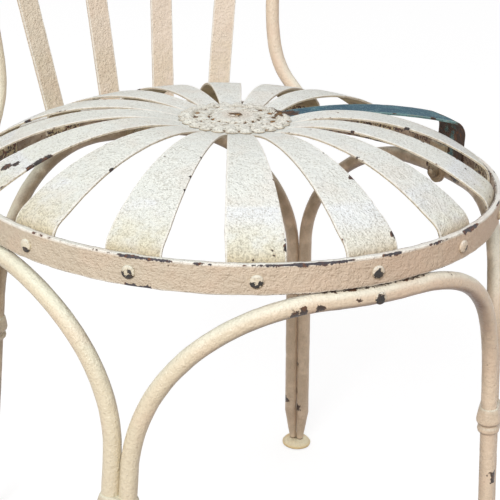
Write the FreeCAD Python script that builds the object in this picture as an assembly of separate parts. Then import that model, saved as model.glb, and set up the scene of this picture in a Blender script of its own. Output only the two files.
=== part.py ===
import FreeCAD, Part
import math
import os

# Sprung metal garden chair: a domed seat of sixteen flat spring strips inside a
# flat-bar hoop, four arched tubes that pair up into the legs, and a bent-tube
# back with four flat splats. Millimetres, floor at Z = 0, front towards -Y.
# The origin is on the floor under the middle of the whole chair.

# Seat hoop, a flat bar bent on the flat with its upper edge at the seat height
SEAT_LEVEL = 396.0
HOOP_RADIUS = 215.0
HOOP_DEPTH = 21.5
HOOP_WALL = 5.0
HOOP_EDGE_BREAK = 0.7

# Fit of touching pieces, and how far below the upper edge the rivets sit
FIT = 0.15
RIVET_DROP = 11.4
RIVET_SHANK = 2.0
RIVET_HEAD = 3.9
RIVET_HEAD_HEIGHT = 2.5
RIVET_TAIL = 3.0
RIVET_TAIL_HEIGHT = 1.1

# Seat strips: width at the rosette and at the hoop, and the cushion-like crown
STRIP_COUNT = 16
STRIP_WALL = 2.0
STRIP_INNER_WIDTH = 18.0
STRIP_OUTER_WIDTH = 40.0
STRIP_START = 17.0
STRIP_TAB_GAP = 0.5
TAB_RISE = 37.4
CROWN_RADIUS = 85.0
CROWN_RISE = 43.0
RIM_BEND = 16.0
RIM_CENTRE_RISE = -6.1
TAIL_INSET = 1.0

# The one strip that has lifted: a flatter crown, and an end skewed to the front
LIFTED_STRIP = 4
LIFTED_RISE = 39.0
LIFTED_RIM_BEND = 14.0
LIFTED_CENTRE_RISE = 12.0
LIFTED_END_TURN = -4.0

# Rosette over the strips' inner ends, its backing disc and its rivets
ROSETTE_RADIUS = 46.5
ROSETTE_WALL = 1.6
ROSETTE_DOME = 1.8
ROSETTE_RIM_DROP = 1.2
ROSETTE_SCALLOPS = 24
SCALLOP_DEPTH = 1.1
BACKING_RADIUS = 40.0
BACKING_WALL = 2.0
ROSETTE_RIVET_CIRCLE = 25.5
ROSETTE_RIVET_SHANK = 1.5
ROSETTE_RIVET_HEAD = 2.7
ROSETTE_RIVET_HEIGHT = 0.9
CENTRE_RIVET_SHANK = 3.0
CENTRE_RIVET_HEAD = 6.0
CENTRE_RIVET_HEIGHT = 1.2

# Leg arches: one bent tube under each quarter of the hoop
TUBE = 13.0
PAIR_GAP = 0.3
ARCH_BEND = 128.0
SIDE_ARCH_BEND = 117.0
SPLAY_SIDE = 0.07
SPLAY_FORE = 0.045
CORNER_SPAN_COUNT = 3
TAPER_LENGTH = 36.0
TAPER_END = 7.2

# Lug and bolt that hang each arch from the hoop
LUG_WIDTH = 22.0
LUG_WALL = 3.0
LUG_TOP_DROP = 3.0
LUG_BELOW_TUBE = 4.0
BOLT_SHANK = 2.8
BOLT_HEAD = 4.6
BOLT_HEAD_HEIGHT = 1.8
NUT_ACROSS = 11.0
NUT_HEIGHT = 5.0

# Moulded collar round each pair of leg tubes
COLLAR_DROP = 189.0
COLLAR_WALL = 3.2
COLLAR_UPPER = 14.0
COLLAR_NECK = 2.6
COLLAR_LOWER = 6.0
COLLAR_NECK_IN = 1.4
COLLAR_UPPER_ROUND = 4.6
COLLAR_LOWER_ROUND = 2.2

# Foot disc
FOOT_RADIUS = 15.7
FOOT_RIM = 2.4
FOOT_HEIGHT = 7.0
FOOT_EDGE = 0.8
FOOT_SEAT = 7.8

# Back hoop, drawn in elevation and laid on a leaning, slightly curved surface
BACK_TOP = 871.0
BACK_HALF_WIDTH = 204.0
BACK_CROWN_RISE = 153.0
BACK_SHOULDER = 120.0
WAIST_HALF_WIDTH = 138.5
WAIST_RISE = 57.0
BACK_LEAN = 0.2
BACK_FLATTEN = 1.0
BACK_FOOT_STRIP = 6
FLARE_SINK = 6.0
FLARE_PULL_UPPER = 42.0
FLARE_PULL_LOWER = 19.0

# Back splats: flat bars from the outside of the hoop to the front of the back tube
SPLAT_WIDTH = 21.0
SPLAT_WALL = 3.2
SPLAT_FOOT_ANGLES = (-22.5, -6.2, 8.2, 22.5)
SPLAT_TOPS = (-159.0, -57.5, 52.3, 148.0)
SPLAT_SECTIONS = 7
SPLAT_OVERRUN = 9.0


def polar(radius, angle, z):
    """Point at an angle turned from the front towards the right-hand side."""
    a = math.radians(angle)
    return FreeCAD.Vector(radius * math.sin(a), -radius * math.cos(a), z)


def outward(angle):
    """Horizontal unit vector pointing away from the middle of the seat."""
    return polar(1.0, angle, 0.0)


def turned(shape, angle):
    """Copy of a shape turned about the chair's upright axis."""
    copy = shape.copy()
    copy.rotate(FreeCAD.Vector(0, 0, 0), FreeCAD.Vector(0, 0, 1), angle)
    return copy


def drill(shape, radius, start, direction, length):
    """Shape with a round hole cut through it."""
    return shape.cut(Part.makeCylinder(radius, length, start, direction))


def revolved(points, axis_point, axis, turn=360.0):
    """Solid turned from a closed outline of straight lines."""
    face = Part.Face(Part.makePolygon(points + [points[0]]))
    return face.revolve(axis_point, axis, turn)


def fastener(start, direction, grip, shank, head, head_height, tail, tail_height):
    """Rivet or bolt: a domed head at start, a shank inwards and a flat tail."""
    shoulder = 0.35 * head_height
    crown = 0.62 * head
    outline = [
        FreeCAD.Vector(0, 0, head_height),
        FreeCAD.Vector(crown, 0, 0.86 * head_height),
        FreeCAD.Vector(head, 0, shoulder),
        FreeCAD.Vector(head, 0, 0),
        FreeCAD.Vector(shank, 0, 0),
        FreeCAD.Vector(shank, 0, -grip),
        FreeCAD.Vector(tail, 0, -grip),
        FreeCAD.Vector(0.8 * tail, 0, -grip - tail_height),
        FreeCAD.Vector(0, 0, -grip - tail_height),
    ]
    solid = revolved(outline, FreeCAD.Vector(0, 0, 0), FreeCAD.Vector(0, 0, 1))
    solid.Placement = FreeCAD.Placement(
        start, FreeCAD.Rotation(FreeCAD.Vector(0, 0, 1), direction))
    return solid


def arc_edge(start, tangent, end):
    """Arc that leaves start along tangent and stops at end."""
    chord = end - start
    side = tangent - chord * (tangent.dot(chord) / chord.dot(chord))
    if side.Length < 1e-6:
        return Part.makeLine(start, end)
    turn = tangent.getAngle(chord)
    sagitta = 0.5 * chord.Length * math.tan(0.5 * turn)
    middle = (start + end) * 0.5 + side.normalize() * sagitta
    return Part.Arc(start, middle, end).toShape()


def biarc(start, start_tangent, end, end_tangent):
    """Two tangent arcs that join two points with given directions."""
    chord = end - start
    both = start_tangent + end_tangent
    spread = 2.0 * (1.0 - start_tangent.dot(end_tangent))
    along = chord.dot(both)
    if spread < 1e-9:
        reach = chord.dot(chord) / (2.0 * along)
    else:
        reach = (math.sqrt(along * along + spread * chord.dot(chord)) - along) / spread
    joint = (start + end + (start_tangent - end_tangent) * reach) * 0.5
    first = arc_edge(start, start_tangent, joint)
    last = arc_edge(end, end_tangent * -1.0, joint)
    last.reverse()
    return [first, last]


def path_through(curve, first, last, spans):
    """Tangent arcs that follow curve(t), with its direction measured on it."""
    step = 1e-4 * (last - first)

    def station(t):
        ahead = curve(t + step)
        behind = curve(t - step)
        return curve(t), (ahead - behind).normalize()

    edges = []
    for i in range(spans):
        a, ta = station(first + (last - first) * i / spans)
        b, tb = station(first + (last - first) * (i + 1) / spans)
        edges += biarc(a, ta, b, tb)
    return edges


def round_bar(edges, radius):
    """Round tube or bar swept along connected edges."""
    path = Part.Wire(edges)
    start = edges[0].valueAt(edges[0].FirstParameter)
    if edges[0].Orientation == "Reversed":
        start = edges[0].valueAt(edges[0].LastParameter)
    tangent = edges[0].tangentAt(edges[0].FirstParameter)
    ring = Part.Wire(Part.makeCircle(radius, start, tangent))
    return path.makePipeShell([ring], True, False)


def mirrored_edges(edges):
    """The same path seen in a mirror across the chair's middle plane."""
    return [e.mirror(FreeCAD.Vector(0, 0, 0), FreeCAD.Vector(1, 0, 0)) for e in edges]


# Places that several pieces share

HOOP_INNER = HOOP_RADIUS - HOOP_WALL
TAIL_OUTER = HOOP_INNER - FIT
TAIL_MIDDLE = TAIL_OUTER - 0.5 * STRIP_WALL
TAIL_INNER = TAIL_OUTER - STRIP_WALL
RIVET_LEVEL = SEAT_LEVEL - RIVET_DROP
HOOP_BOTTOM = SEAT_LEVEL - HOOP_DEPTH
STRIP_PITCH = 360.0 / STRIP_COUNT
TAB_LEVEL = SEAT_LEVEL + TAB_RISE
LUG_FACE = math.sqrt((TAIL_INNER - FIT) ** 2 - (0.5 * LUG_WIDTH) ** 2)
LUG_BACK = LUG_FACE - LUG_WALL
ARCH_RADIUS = math.hypot(LUG_FACE + FIT, 0.5 * LUG_WIDTH) + 0.5 * TUBE
ARCH_LEVEL = HOOP_BOTTOM - FIT - 0.5 * TUBE
PAIR_STEP = math.degrees(math.asin(0.5 * (TUBE + PAIR_GAP) / ARCH_RADIUS))
SPLAT_FACE = HOOP_RADIUS + FIT
SPLAT_MIDDLE = SPLAT_FACE + 0.5 * SPLAT_WALL
FLARE_RADIUS = HOOP_RADIUS + FIT + 0.5 * TUBE
FLARE_ANGLE = BACK_FOOT_STRIP * STRIP_PITCH
BACK_WIDEST = BACK_TOP - BACK_CROWN_RISE
WAIST_LEVEL = SEAT_LEVEL + WAIST_RISE
ARCHES = {"front": 0.0, "right": 90.0, "rear": 180.0, "left": 270.0}


def seat_rivet_angles():
    """Every place where a rivet goes through the seat hoop."""
    angles = [i * STRIP_PITCH for i in range(STRIP_COUNT)]
    return angles + [180.0 - a for a in SPLAT_FOOT_ANGLES if 180.0 - a not in angles]


def seat_hoop():
    """Flat bar bent into a ring, its edges eased, with the rivet holes."""
    e = HOOP_EDGE_BREAK
    outline = [
        FreeCAD.Vector(HOOP_INNER + e, 0, SEAT_LEVEL),
        FreeCAD.Vector(HOOP_RADIUS - e, 0, SEAT_LEVEL),
        FreeCAD.Vector(HOOP_RADIUS, 0, SEAT_LEVEL - e),
        FreeCAD.Vector(HOOP_RADIUS, 0, HOOP_BOTTOM + e),
        FreeCAD.Vector(HOOP_RADIUS - e, 0, HOOP_BOTTOM),
        FreeCAD.Vector(HOOP_INNER + e, 0, HOOP_BOTTOM),
        FreeCAD.Vector(HOOP_INNER, 0, HOOP_BOTTOM + e),
        FreeCAD.Vector(HOOP_INNER, 0, SEAT_LEVEL - e),
    ]
    ring = revolved(outline, FreeCAD.Vector(0, 0, 0), FreeCAD.Vector(0, 0, 1))
    holes = []
    for angle in seat_rivet_angles():
        start = polar(HOOP_INNER - HOOP_WALL, angle, RIVET_LEVEL)
        holes.append(Part.makeCylinder(RIVET_SHANK + FIT, 3 * HOOP_WALL, start, outward(angle)))
    return ring.cut(Part.makeCompound(holes))


def strip_section(rise, rim_bend, rim_rise):
    """Side view of a strip in the X-Z plane: tab, crown, rim bend and tail."""
    half = 0.5 * STRIP_WALL
    tab_end = ROSETTE_RADIUS
    peak = SEAT_LEVEL + rise
    climb = peak - TAB_LEVEL
    inner_bend = ((CROWN_RADIUS - tab_end) ** 2 + climb ** 2) / (2.0 * climb)
    inner_centre = peak - inner_bend
    rim_x = TAIL_MIDDLE - rim_bend
    rim_z = SEAT_LEVEL + rim_rise
    run = rim_x - CROWN_RADIUS
    fall = peak - rim_z
    bend = (run ** 2 + fall ** 2 - rim_bend ** 2) / (2.0 * (fall - rim_bend))
    outer_centre = peak - bend
    lean = math.asin(run / (bend - rim_bend))
    tail_z = HOOP_BOTTOM + TAIL_INSET

    def on(cx, cz, radius, angle):
        return FreeCAD.Vector(cx + radius * math.sin(angle), 0, cz + radius * math.cos(angle))

    def side(offset):
        ri = inner_bend + offset
        level = TAB_LEVEL + offset
        begin = -math.acos((level - inner_centre) / ri)
        ro = bend + offset
        rr = rim_bend + offset
        corner = FreeCAD.Vector(STRIP_START, 0, level)
        tab = on(CROWN_RADIUS, inner_centre, ri, begin)
        top = on(CROWN_RADIUS, inner_centre, ri, 0.0)
        rim = on(CROWN_RADIUS, outer_centre, ro, lean)
        tail = on(rim_x, rim_z, rr, 0.5 * math.pi)
        end = FreeCAD.Vector(tail.x, 0, tail_z)
        return corner, end, [
            Part.makeLine(corner, tab),
            Part.Arc(tab, on(CROWN_RADIUS, inner_centre, ri, 0.5 * begin), top).toShape(),
            Part.Arc(top, on(CROWN_RADIUS, outer_centre, ro, 0.5 * lean), rim).toShape(),
            Part.Arc(rim, on(rim_x, rim_z, rr, 0.5 * lean + 0.25 * math.pi), tail).toShape(),
            Part.makeLine(tail, end),
        ]

    upper_start, upper_end, upper = side(half)
    lower_start, lower_end, lower = side(-half)
    closing = [Part.makeLine(upper_end, lower_end), Part.makeLine(lower_start, upper_start)]
    return Part.Face(Part.Wire(Part.__sortEdges__(upper + lower + closing)))


def strip_plan(end_turn):
    """Plan of a strip along +X, tapered to the rosette, as a tall prism."""
    tab_half = 0.5 * (2.0 * ROSETTE_RADIUS * math.tan(math.radians(0.5 * STRIP_PITCH)))
    tab_half = min(0.5 * STRIP_INNER_WIDTH, tab_half - 0.5 * STRIP_TAB_GAP)
    start_half = STRIP_START * math.tan(math.radians(0.5 * STRIP_PITCH)) - 0.5 * STRIP_TAB_GAP
    outer_half = 0.5 * STRIP_OUTER_WIDTH
    swing = math.radians(end_turn)

    def outer(x, y):
        return FreeCAD.Vector(
            x * math.cos(swing) - y * math.sin(swing),
            x * math.sin(swing) + y * math.cos(swing), HOOP_BOTTOM)

    beyond = HOOP_RADIUS + STRIP_WALL
    shoulder = TAIL_MIDDLE - RIM_BEND
    points = [
        FreeCAD.Vector(STRIP_START, -start_half, HOOP_BOTTOM),
        FreeCAD.Vector(ROSETTE_RADIUS, -tab_half, HOOP_BOTTOM),
        outer(shoulder, -outer_half),
        outer(beyond, -outer_half),
        outer(beyond, outer_half),
        outer(shoulder, outer_half),
        FreeCAD.Vector(ROSETTE_RADIUS, tab_half, HOOP_BOTTOM),
        FreeCAD.Vector(STRIP_START, start_half, HOOP_BOTTOM),
    ]
    face = Part.Face(Part.makePolygon(points + [points[0]]))
    return face.extrude(FreeCAD.Vector(0, 0, HOOP_DEPTH + CROWN_RISE + 2 * STRIP_WALL))


def seat_strip(index):
    """One spring strip, bent to the dome and riveted inside the hoop."""
    lifted = index == LIFTED_STRIP
    rise = LIFTED_RISE if lifted else CROWN_RISE
    rim_bend = LIFTED_RIM_BEND if lifted else RIM_BEND
    rim_rise = LIFTED_CENTRE_RISE if lifted else RIM_CENTRE_RISE
    end_turn = LIFTED_END_TURN if lifted else 0.0
    sweep = STRIP_PITCH + 2.0 * abs(end_turn)
    section = turned(strip_section(rise, rim_bend, rim_rise), -0.5 * sweep)
    dome = section.revolve(FreeCAD.Vector(0, 0, 0), FreeCAD.Vector(0, 0, 1), sweep)
    strip = dome.common(strip_plan(end_turn))
    strip = turned(strip, index * STRIP_PITCH - 90.0)
    angle = index * STRIP_PITCH
    strip = drill(strip, RIVET_SHANK + FIT,
                  polar(TAIL_INNER - STRIP_WALL, angle, RIVET_LEVEL), outward(angle),
                  3 * STRIP_WALL)
    place = polar(ROSETTE_RIVET_CIRCLE, angle, TAB_LEVEL - STRIP_WALL)
    return drill(strip, ROSETTE_RIVET_SHANK + FIT, place, FreeCAD.Vector(0, 0, 1),
                 2 * STRIP_WALL)


ROSETTE_SEAT = TAB_LEVEL + 0.5 * STRIP_WALL + FIT
BACKING_SEAT = TAB_LEVEL - 0.5 * STRIP_WALL - FIT
ROSETTE_LAND = 0.72 * ROSETTE_RADIUS


def rosette():
    """Pressed disc: flat where it bears on the strips, raised in the middle,
    with a turned-up rim cut in scallops."""
    t = ROSETTE_WALL
    z = ROSETTE_SEAT
    eye = 0.42 * ROSETTE_RADIUS
    shoulder = 0.3 * ROSETTE_RADIUS
    outline = [
        FreeCAD.Vector(0, 0, z),
        FreeCAD.Vector(ROSETTE_RADIUS, 0, z),
        FreeCAD.Vector(ROSETTE_RADIUS, 0, z + 0.5 * t),
        FreeCAD.Vector(ROSETTE_LAND, 0, z + t + 0.4 * ROSETTE_RIM_DROP),
        FreeCAD.Vector(eye, 0, z + t),
        FreeCAD.Vector(shoulder, 0, z + t + 0.5 * ROSETTE_DOME),
        FreeCAD.Vector(0, 0, z + t + ROSETTE_DOME),
    ]
    disc = revolved(outline, FreeCAD.Vector(0, 0, 0), FreeCAD.Vector(0, 0, 1))
    pitch = 360.0 / ROSETTE_SCALLOPS
    base = z - t
    petals = []
    lobe = ROSETTE_RADIUS * math.sin(math.radians(0.5 * pitch)) + 0.25 * SCALLOP_DEPTH
    hub = Part.makeCylinder(ROSETTE_RADIUS - lobe, 6 * t, FreeCAD.Vector(0, 0, base))
    for i in range(ROSETTE_SCALLOPS):
        middle = polar(ROSETTE_RADIUS - lobe, (i + 0.5) * pitch, base)
        petals.append(Part.makeCylinder(lobe, 6 * t, middle))
    cutter = hub.fuse(petals)
    disc = disc.common(cutter).removeSplitter()
    for i in range(STRIP_COUNT):
        place = polar(ROSETTE_RIVET_CIRCLE, i * STRIP_PITCH, base)
        disc = drill(disc, ROSETTE_RIVET_SHANK + FIT, place, FreeCAD.Vector(0, 0, 1), 6 * t)
    return drill(disc, CENTRE_RIVET_SHANK + FIT, FreeCAD.Vector(0, 0, base),
                 FreeCAD.Vector(0, 0, 1), 6 * t)


def rosette_backing():
    """Flat washer plate that clamps the strips from below."""
    plate = Part.makeCylinder(
        BACKING_RADIUS, BACKING_WALL, FreeCAD.Vector(0, 0, BACKING_SEAT - BACKING_WALL))
    up = FreeCAD.Vector(0, 0, 1)
    low = BACKING_SEAT - 2 * BACKING_WALL
    for i in range(STRIP_COUNT):
        place = polar(ROSETTE_RIVET_CIRCLE, i * STRIP_PITCH, low)
        plate = drill(plate, ROSETTE_RIVET_SHANK + FIT, place, up, 4 * BACKING_WALL)
    return drill(plate, CENTRE_RIVET_SHANK + FIT, FreeCAD.Vector(0, 0, low), up,
                 4 * BACKING_WALL)


def rosette_rivets():
    """One small rivet through the rosette, each strip's tab and the backing."""
    top = ROSETTE_SEAT + ROSETTE_WALL + 0.05
    grip = top - (BACKING_SEAT - BACKING_WALL)
    solids = []
    for i in range(STRIP_COUNT):
        place = polar(ROSETTE_RIVET_CIRCLE, i * STRIP_PITCH, top)
        solids.append(fastener(place, FreeCAD.Vector(0, 0, 1), grip, ROSETTE_RIVET_SHANK,
                               ROSETTE_RIVET_HEAD, ROSETTE_RIVET_HEIGHT,
                               ROSETTE_RIVET_HEAD, ROSETTE_RIVET_HEIGHT))
    return Part.makeCompound(solids)


def centre_rivet():
    """The rivet in the middle of the rosette."""
    top = ROSETTE_SEAT + ROSETTE_WALL + ROSETTE_DOME
    grip = top - (BACKING_SEAT - BACKING_WALL)
    return fastener(FreeCAD.Vector(0, 0, top), FreeCAD.Vector(0, 0, 1), grip,
                    CENTRE_RIVET_SHANK, CENTRE_RIVET_HEAD, CENTRE_RIVET_HEIGHT,
                    CENTRE_RIVET_HEAD, CENTRE_RIVET_HEIGHT)


def seat_rivets():
    """Rivets that hold the strips, and with some of them a lug or a splat."""
    solids = []
    for i in range(STRIP_COUNT):
        angle = i * STRIP_PITCH
        if angle in (FLARE_ANGLE, 360.0 - FLARE_ANGLE):
            continue
        seat = HOOP_RADIUS
        if 180.0 - angle in SPLAT_FOOT_ANGLES:
            seat = SPLAT_FACE + SPLAT_WALL
        inner = TAIL_INNER
        if angle in ARCHES.values():
            inner = LUG_BACK
        solids.append(fastener(polar(seat, angle, RIVET_LEVEL), outward(angle), seat - inner,
                               RIVET_SHANK, RIVET_HEAD, RIVET_HEAD_HEIGHT,
                               RIVET_TAIL, RIVET_TAIL_HEIGHT))
    return Part.makeCompound(solids)


def arch_curve(bend, splay_tangent, splay_radial):
    """Bent part of an arch from the hoop's underside to the leg, right half."""
    leg = math.radians(45.0 - PAIR_STEP)
    start = leg - bend / ARCH_RADIUS

    def curve(u):
        theta = start + bend * math.sin(u) / ARCH_RADIUS
        drop = bend * (1.0 - math.cos(u))
        return FreeCAD.Vector(
            ARCH_RADIUS * math.sin(theta) + splay_tangent * drop,
            -ARCH_RADIUS * math.cos(theta) - splay_radial * drop,
            ARCH_LEVEL - drop)

    return curve, start


def leg_axis(angle_x, angle_y, drop):
    """Middle between a leg's two tubes at a depth below the arches' top."""
    reach = ARCH_RADIUS * math.cos(math.radians(PAIR_STEP)) * math.sqrt(0.5)
    return FreeCAD.Vector(
        angle_x * (reach + SPLAY_SIDE * drop),
        angle_y * (reach + SPLAY_FORE * drop),
        ARCH_LEVEL - drop)


def leg_direction(angle_x, angle_y):
    """Downward direction of a leg."""
    return FreeCAD.Vector(angle_x * SPLAY_SIDE, angle_y * SPLAY_FORE, -1.0).normalize()


def leg_taper(end, direction, side_x, side_y):
    """Drawn-down end of one leg tube, standing on the foot."""
    foot = leg_axis(side_x, side_y, ARCH_LEVEL - FOOT_HEIGHT)
    level = leg_axis(side_x, side_y, ARCH_LEVEL - end.z)
    sideways = (end - level).normalize()
    tip = foot + sideways * (0.5 * (TAPER_END + PAIR_GAP))
    top_ring = Part.Wire(Part.makeCircle(0.5 * TUBE, end, direction))
    tip_ring = Part.Wire(Part.makeCircle(0.5 * TAPER_END, tip, FreeCAD.Vector(0, 0, -1)))
    return Part.makeLoft([top_ring, tip_ring], True)


def leg_arch(angle):
    """One bent tube: a leg tube up, a run under the hoop and a leg tube down."""
    across = angle in (0.0, 180.0)
    bend = ARCH_BEND if across else SIDE_ARCH_BEND
    tangent = SPLAY_SIDE if across else SPLAY_FORE
    radial = SPLAY_FORE if across else SPLAY_SIDE
    curve, start = arch_curve(bend, tangent, radial)
    corner = path_through(curve, 0.0, 0.5 * math.pi, CORNER_SPAN_COUNT)
    corner_end = curve(0.5 * math.pi)
    down = FreeCAD.Vector(tangent, -radial, -1.0)
    straight = ARCH_LEVEL - bend - FOOT_HEIGHT - TAPER_LENGTH
    leg_end = corner_end + down * straight
    half = corner + [Part.makeLine(corner_end, leg_end)]
    start_degrees = math.degrees(start)
    run = Part.Arc(polar(ARCH_RADIUS, -start_degrees, ARCH_LEVEL),
                   polar(ARCH_RADIUS, 0.0, ARCH_LEVEL),
                   polar(ARCH_RADIUS, start_degrees, ARCH_LEVEL)).toShape()
    tube = round_bar(Part.__sortEdges__(mirrored_edges(half) + [run] + half), 0.5 * TUBE)
    tube = turned(tube, angle)
    tapers = []
    for mirror in (1.0, -1.0):
        tip = turned(Part.Vertex(FreeCAD.Vector(mirror * leg_end.x, leg_end.y, leg_end.z)), angle)
        side_x = math.copysign(1.0, tip.X)
        side_y = math.copysign(1.0, tip.Y)
        tapers.append(leg_taper(tip.Point, leg_direction(side_x, side_y), side_x, side_y))
    tube = tube.fuse(tapers).removeSplitter()
    hole = polar(ARCH_RADIUS - TUBE, angle, ARCH_LEVEL)
    return drill(tube, BOLT_SHANK + FIT, hole, outward(angle), 2 * TUBE)


def arch_lug(angle):
    """Flat plate with a round end that hangs an arch inside the hoop."""
    half = 0.5 * LUG_WIDTH
    top = SEAT_LEVEL - LUG_TOP_DROP
    bottom = ARCH_LEVEL - 0.5 * TUBE - LUG_BELOW_TUBE
    back = LUG_BACK
    corners = [
        FreeCAD.Vector(-half, -back, bottom + half),
        FreeCAD.Vector(-half, -back, top),
        FreeCAD.Vector(half, -back, top),
        FreeCAD.Vector(half, -back, bottom + half),
    ]
    edges = [Part.makeLine(a, b) for a, b in zip(corners, corners[1:])]
    edges.append(Part.Arc(corners[3], FreeCAD.Vector(0, -back, bottom), corners[0]).toShape())
    plate = Part.Face(Part.Wire(edges)).extrude(FreeCAD.Vector(0, -LUG_WALL, 0))
    plate = turned(plate, angle)
    for radius, level in ((RIVET_SHANK, RIVET_LEVEL), (BOLT_SHANK, ARCH_LEVEL)):
        plate = drill(plate, radius + FIT, polar(back - LUG_WALL, angle, level),
                      outward(angle), 4 * LUG_WALL)
    return plate


def arch_bolts():
    """Round-head bolts through each arch tube and its lug."""
    seat = ARCH_RADIUS + 0.5 * TUBE
    nut_face = LUG_BACK - FIT
    grip = seat - nut_face + NUT_HEIGHT
    solids = []
    for angle in ARCHES.values():
        solids.append(fastener(polar(seat, angle, ARCH_LEVEL), outward(angle), grip,
                               BOLT_SHANK, BOLT_HEAD, BOLT_HEAD_HEIGHT,
                               0.8 * BOLT_SHANK, 0.5))
    return Part.makeCompound(solids)


def arch_nuts():
    """Hexagon nuts on the inside of the lugs."""
    solids = []
    for angle in ARCHES.values():
        centre = polar(LUG_BACK - FIT, angle, ARCH_LEVEL)
        inward = outward(angle) * -1.0
        across = FreeCAD.Vector(0, 0, 1).cross(inward)
        corner = NUT_ACROSS / math.sqrt(3.0)
        points = []
        for k in range(7):
            a = math.radians(60.0 * k)
            points.append(centre + across * (corner * math.cos(a))
                          + FreeCAD.Vector(0, 0, corner * math.sin(a)))
        nut = Part.Face(Part.makePolygon(points)).extrude(inward * NUT_HEIGHT)
        solids.append(drill(nut, BOLT_SHANK + FIT, centre - inward, inward, NUT_HEIGHT + 2.0))
    return Part.makeCompound(solids)


def stadium(length_half, radius, height, low, rounding):
    """Block with half-round ends and rounded upper and lower edges."""
    a = FreeCAD.Vector(-length_half, -radius, low)
    b = FreeCAD.Vector(length_half, -radius, low)
    c = FreeCAD.Vector(length_half, radius, low)
    d = FreeCAD.Vector(-length_half, radius, low)
    outline = Part.Wire([
        Part.makeLine(a, b),
        Part.Arc(b, FreeCAD.Vector(length_half + radius, 0, low), c).toShape(),
        Part.makeLine(c, d),
        Part.Arc(d, FreeCAD.Vector(-length_half - radius, 0, low), a).toShape(),
    ])
    block = Part.Face(outline).extrude(FreeCAD.Vector(0, 0, height))
    if rounding <= 0.0:
        return block
    rim = [e for e in block.Edges if abs(e.BoundBox.ZLength) < 1e-6]
    return block.makeFillet(min(rounding, 0.45 * height), rim)


def leg_collar(side_x, side_y):
    """Cast collar with a broad and a narrow ring round both tubes of a leg."""
    pair = 0.5 * (TUBE + PAIR_GAP)
    radius = 0.5 * TUBE + COLLAR_WALL
    upper = stadium(pair, radius, COLLAR_UPPER, 0.0, COLLAR_UPPER_ROUND)
    neck = stadium(pair, radius - COLLAR_NECK_IN, COLLAR_NECK + 2.0, -COLLAR_NECK - 1.0, 0.0)
    lower = stadium(pair, radius - 0.5, COLLAR_LOWER, -COLLAR_NECK - COLLAR_LOWER,
                    COLLAR_LOWER_ROUND)
    collar = upper.fuse([neck, lower]).removeSplitter()
    length = COLLAR_UPPER + COLLAR_NECK + COLLAR_LOWER
    opening = stadium(pair, 0.5 * TUBE + FIT, 4 * length, -2 * length, 0.0)
    collar = collar.cut(opening)
    drop = COLLAR_DROP - (SEAT_LEVEL - ARCH_LEVEL)
    centre = leg_axis(side_x, side_y, drop)
    up = leg_direction(side_x, side_y) * -1.0
    sideways = FreeCAD.Vector(side_x, -side_y, 0.0).normalize()
    sideways = (sideways - up * sideways.dot(up)).normalize()
    turn = FreeCAD.Rotation(sideways, FreeCAD.Vector(), up, "ZXY")
    collar.Placement = FreeCAD.Placement(centre, turn)
    return collar


def leg_foot(side_x, side_y):
    """Round domed disc under a leg."""
    centre = leg_axis(side_x, side_y, ARCH_LEVEL)
    rim = FreeCAD.Vector(FOOT_RADIUS, 0, FOOT_RIM)
    seat = FreeCAD.Vector(FOOT_SEAT, 0, FOOT_HEIGHT)
    bulge = FreeCAD.Vector(0.5 * (FOOT_RADIUS + FOOT_SEAT) + 0.9, 0,
                           0.5 * (FOOT_RIM + FOOT_HEIGHT) + 0.9)
    axis_low = FreeCAD.Vector(0, 0, 0)
    axis_high = FreeCAD.Vector(0, 0, FOOT_HEIGHT)
    edge_in = FreeCAD.Vector(FOOT_RADIUS - FOOT_EDGE, 0, 0)
    edge_out = FreeCAD.Vector(FOOT_RADIUS, 0, FOOT_EDGE)
    outline = Part.Wire([
        Part.makeLine(axis_low, edge_in),
        Part.makeLine(edge_in, edge_out),
        Part.makeLine(edge_out, rim),
        Part.Arc(rim, bulge, seat).toShape(),
        Part.makeLine(seat, axis_high),
        Part.makeLine(axis_high, axis_low),
    ])
    foot = Part.Face(outline).revolve(FreeCAD.Vector(0, 0, 0), FreeCAD.Vector(0, 0, 1), 360)
    foot.translate(FreeCAD.Vector(centre.x, centre.y, 0))
    return foot


def back_depth(x, z):
    """How far behind the seat's middle the back's surface lies."""
    height = z - SEAT_LEVEL
    radius = SPLAT_MIDDLE + BACK_FLATTEN * max(height, 0.0)
    middle = SPLAT_MIDDLE + BACK_LEAN * height
    return middle - radius + math.sqrt(radius * radius - x * x)


CROWN_SPAN = BACK_HALF_WIDTH - BACK_SHOULDER
CROWN_HEIGHT = BACK_TOP - BACK_WIDEST
BACK_CROWN = ((CROWN_SPAN ** 2 + CROWN_HEIGHT ** 2 - BACK_SHOULDER ** 2)
              / (2.0 * (CROWN_HEIGHT - BACK_SHOULDER)))
CROWN_TURN = math.atan2(CROWN_SPAN, BACK_CROWN - CROWN_HEIGHT)
SIDE_IN = BACK_HALF_WIDTH - WAIST_HALF_WIDTH
SIDE_DOWN = BACK_WIDEST - WAIST_LEVEL
SIDE_TURN = 2.0 * math.atan2(SIDE_IN, SIDE_DOWN)
SIDE_BEND = SIDE_DOWN / (2.0 * math.sin(SIDE_TURN))


def back_crown(u):
    """Top of the back hoop, from its middle to the shoulder."""
    x = BACK_CROWN * math.sin(u)
    z = BACK_TOP - BACK_CROWN * (1.0 - math.cos(u))
    return FreeCAD.Vector(x, back_depth(x, z), z)


def back_shoulder(u):
    """Tighter bend at the shoulder, down to the widest place."""
    x = BACK_HALF_WIDTH - BACK_SHOULDER * (1.0 - math.sin(u))
    z = BACK_WIDEST + BACK_SHOULDER * math.cos(u)
    return FreeCAD.Vector(x, back_depth(x, z), z)


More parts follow.
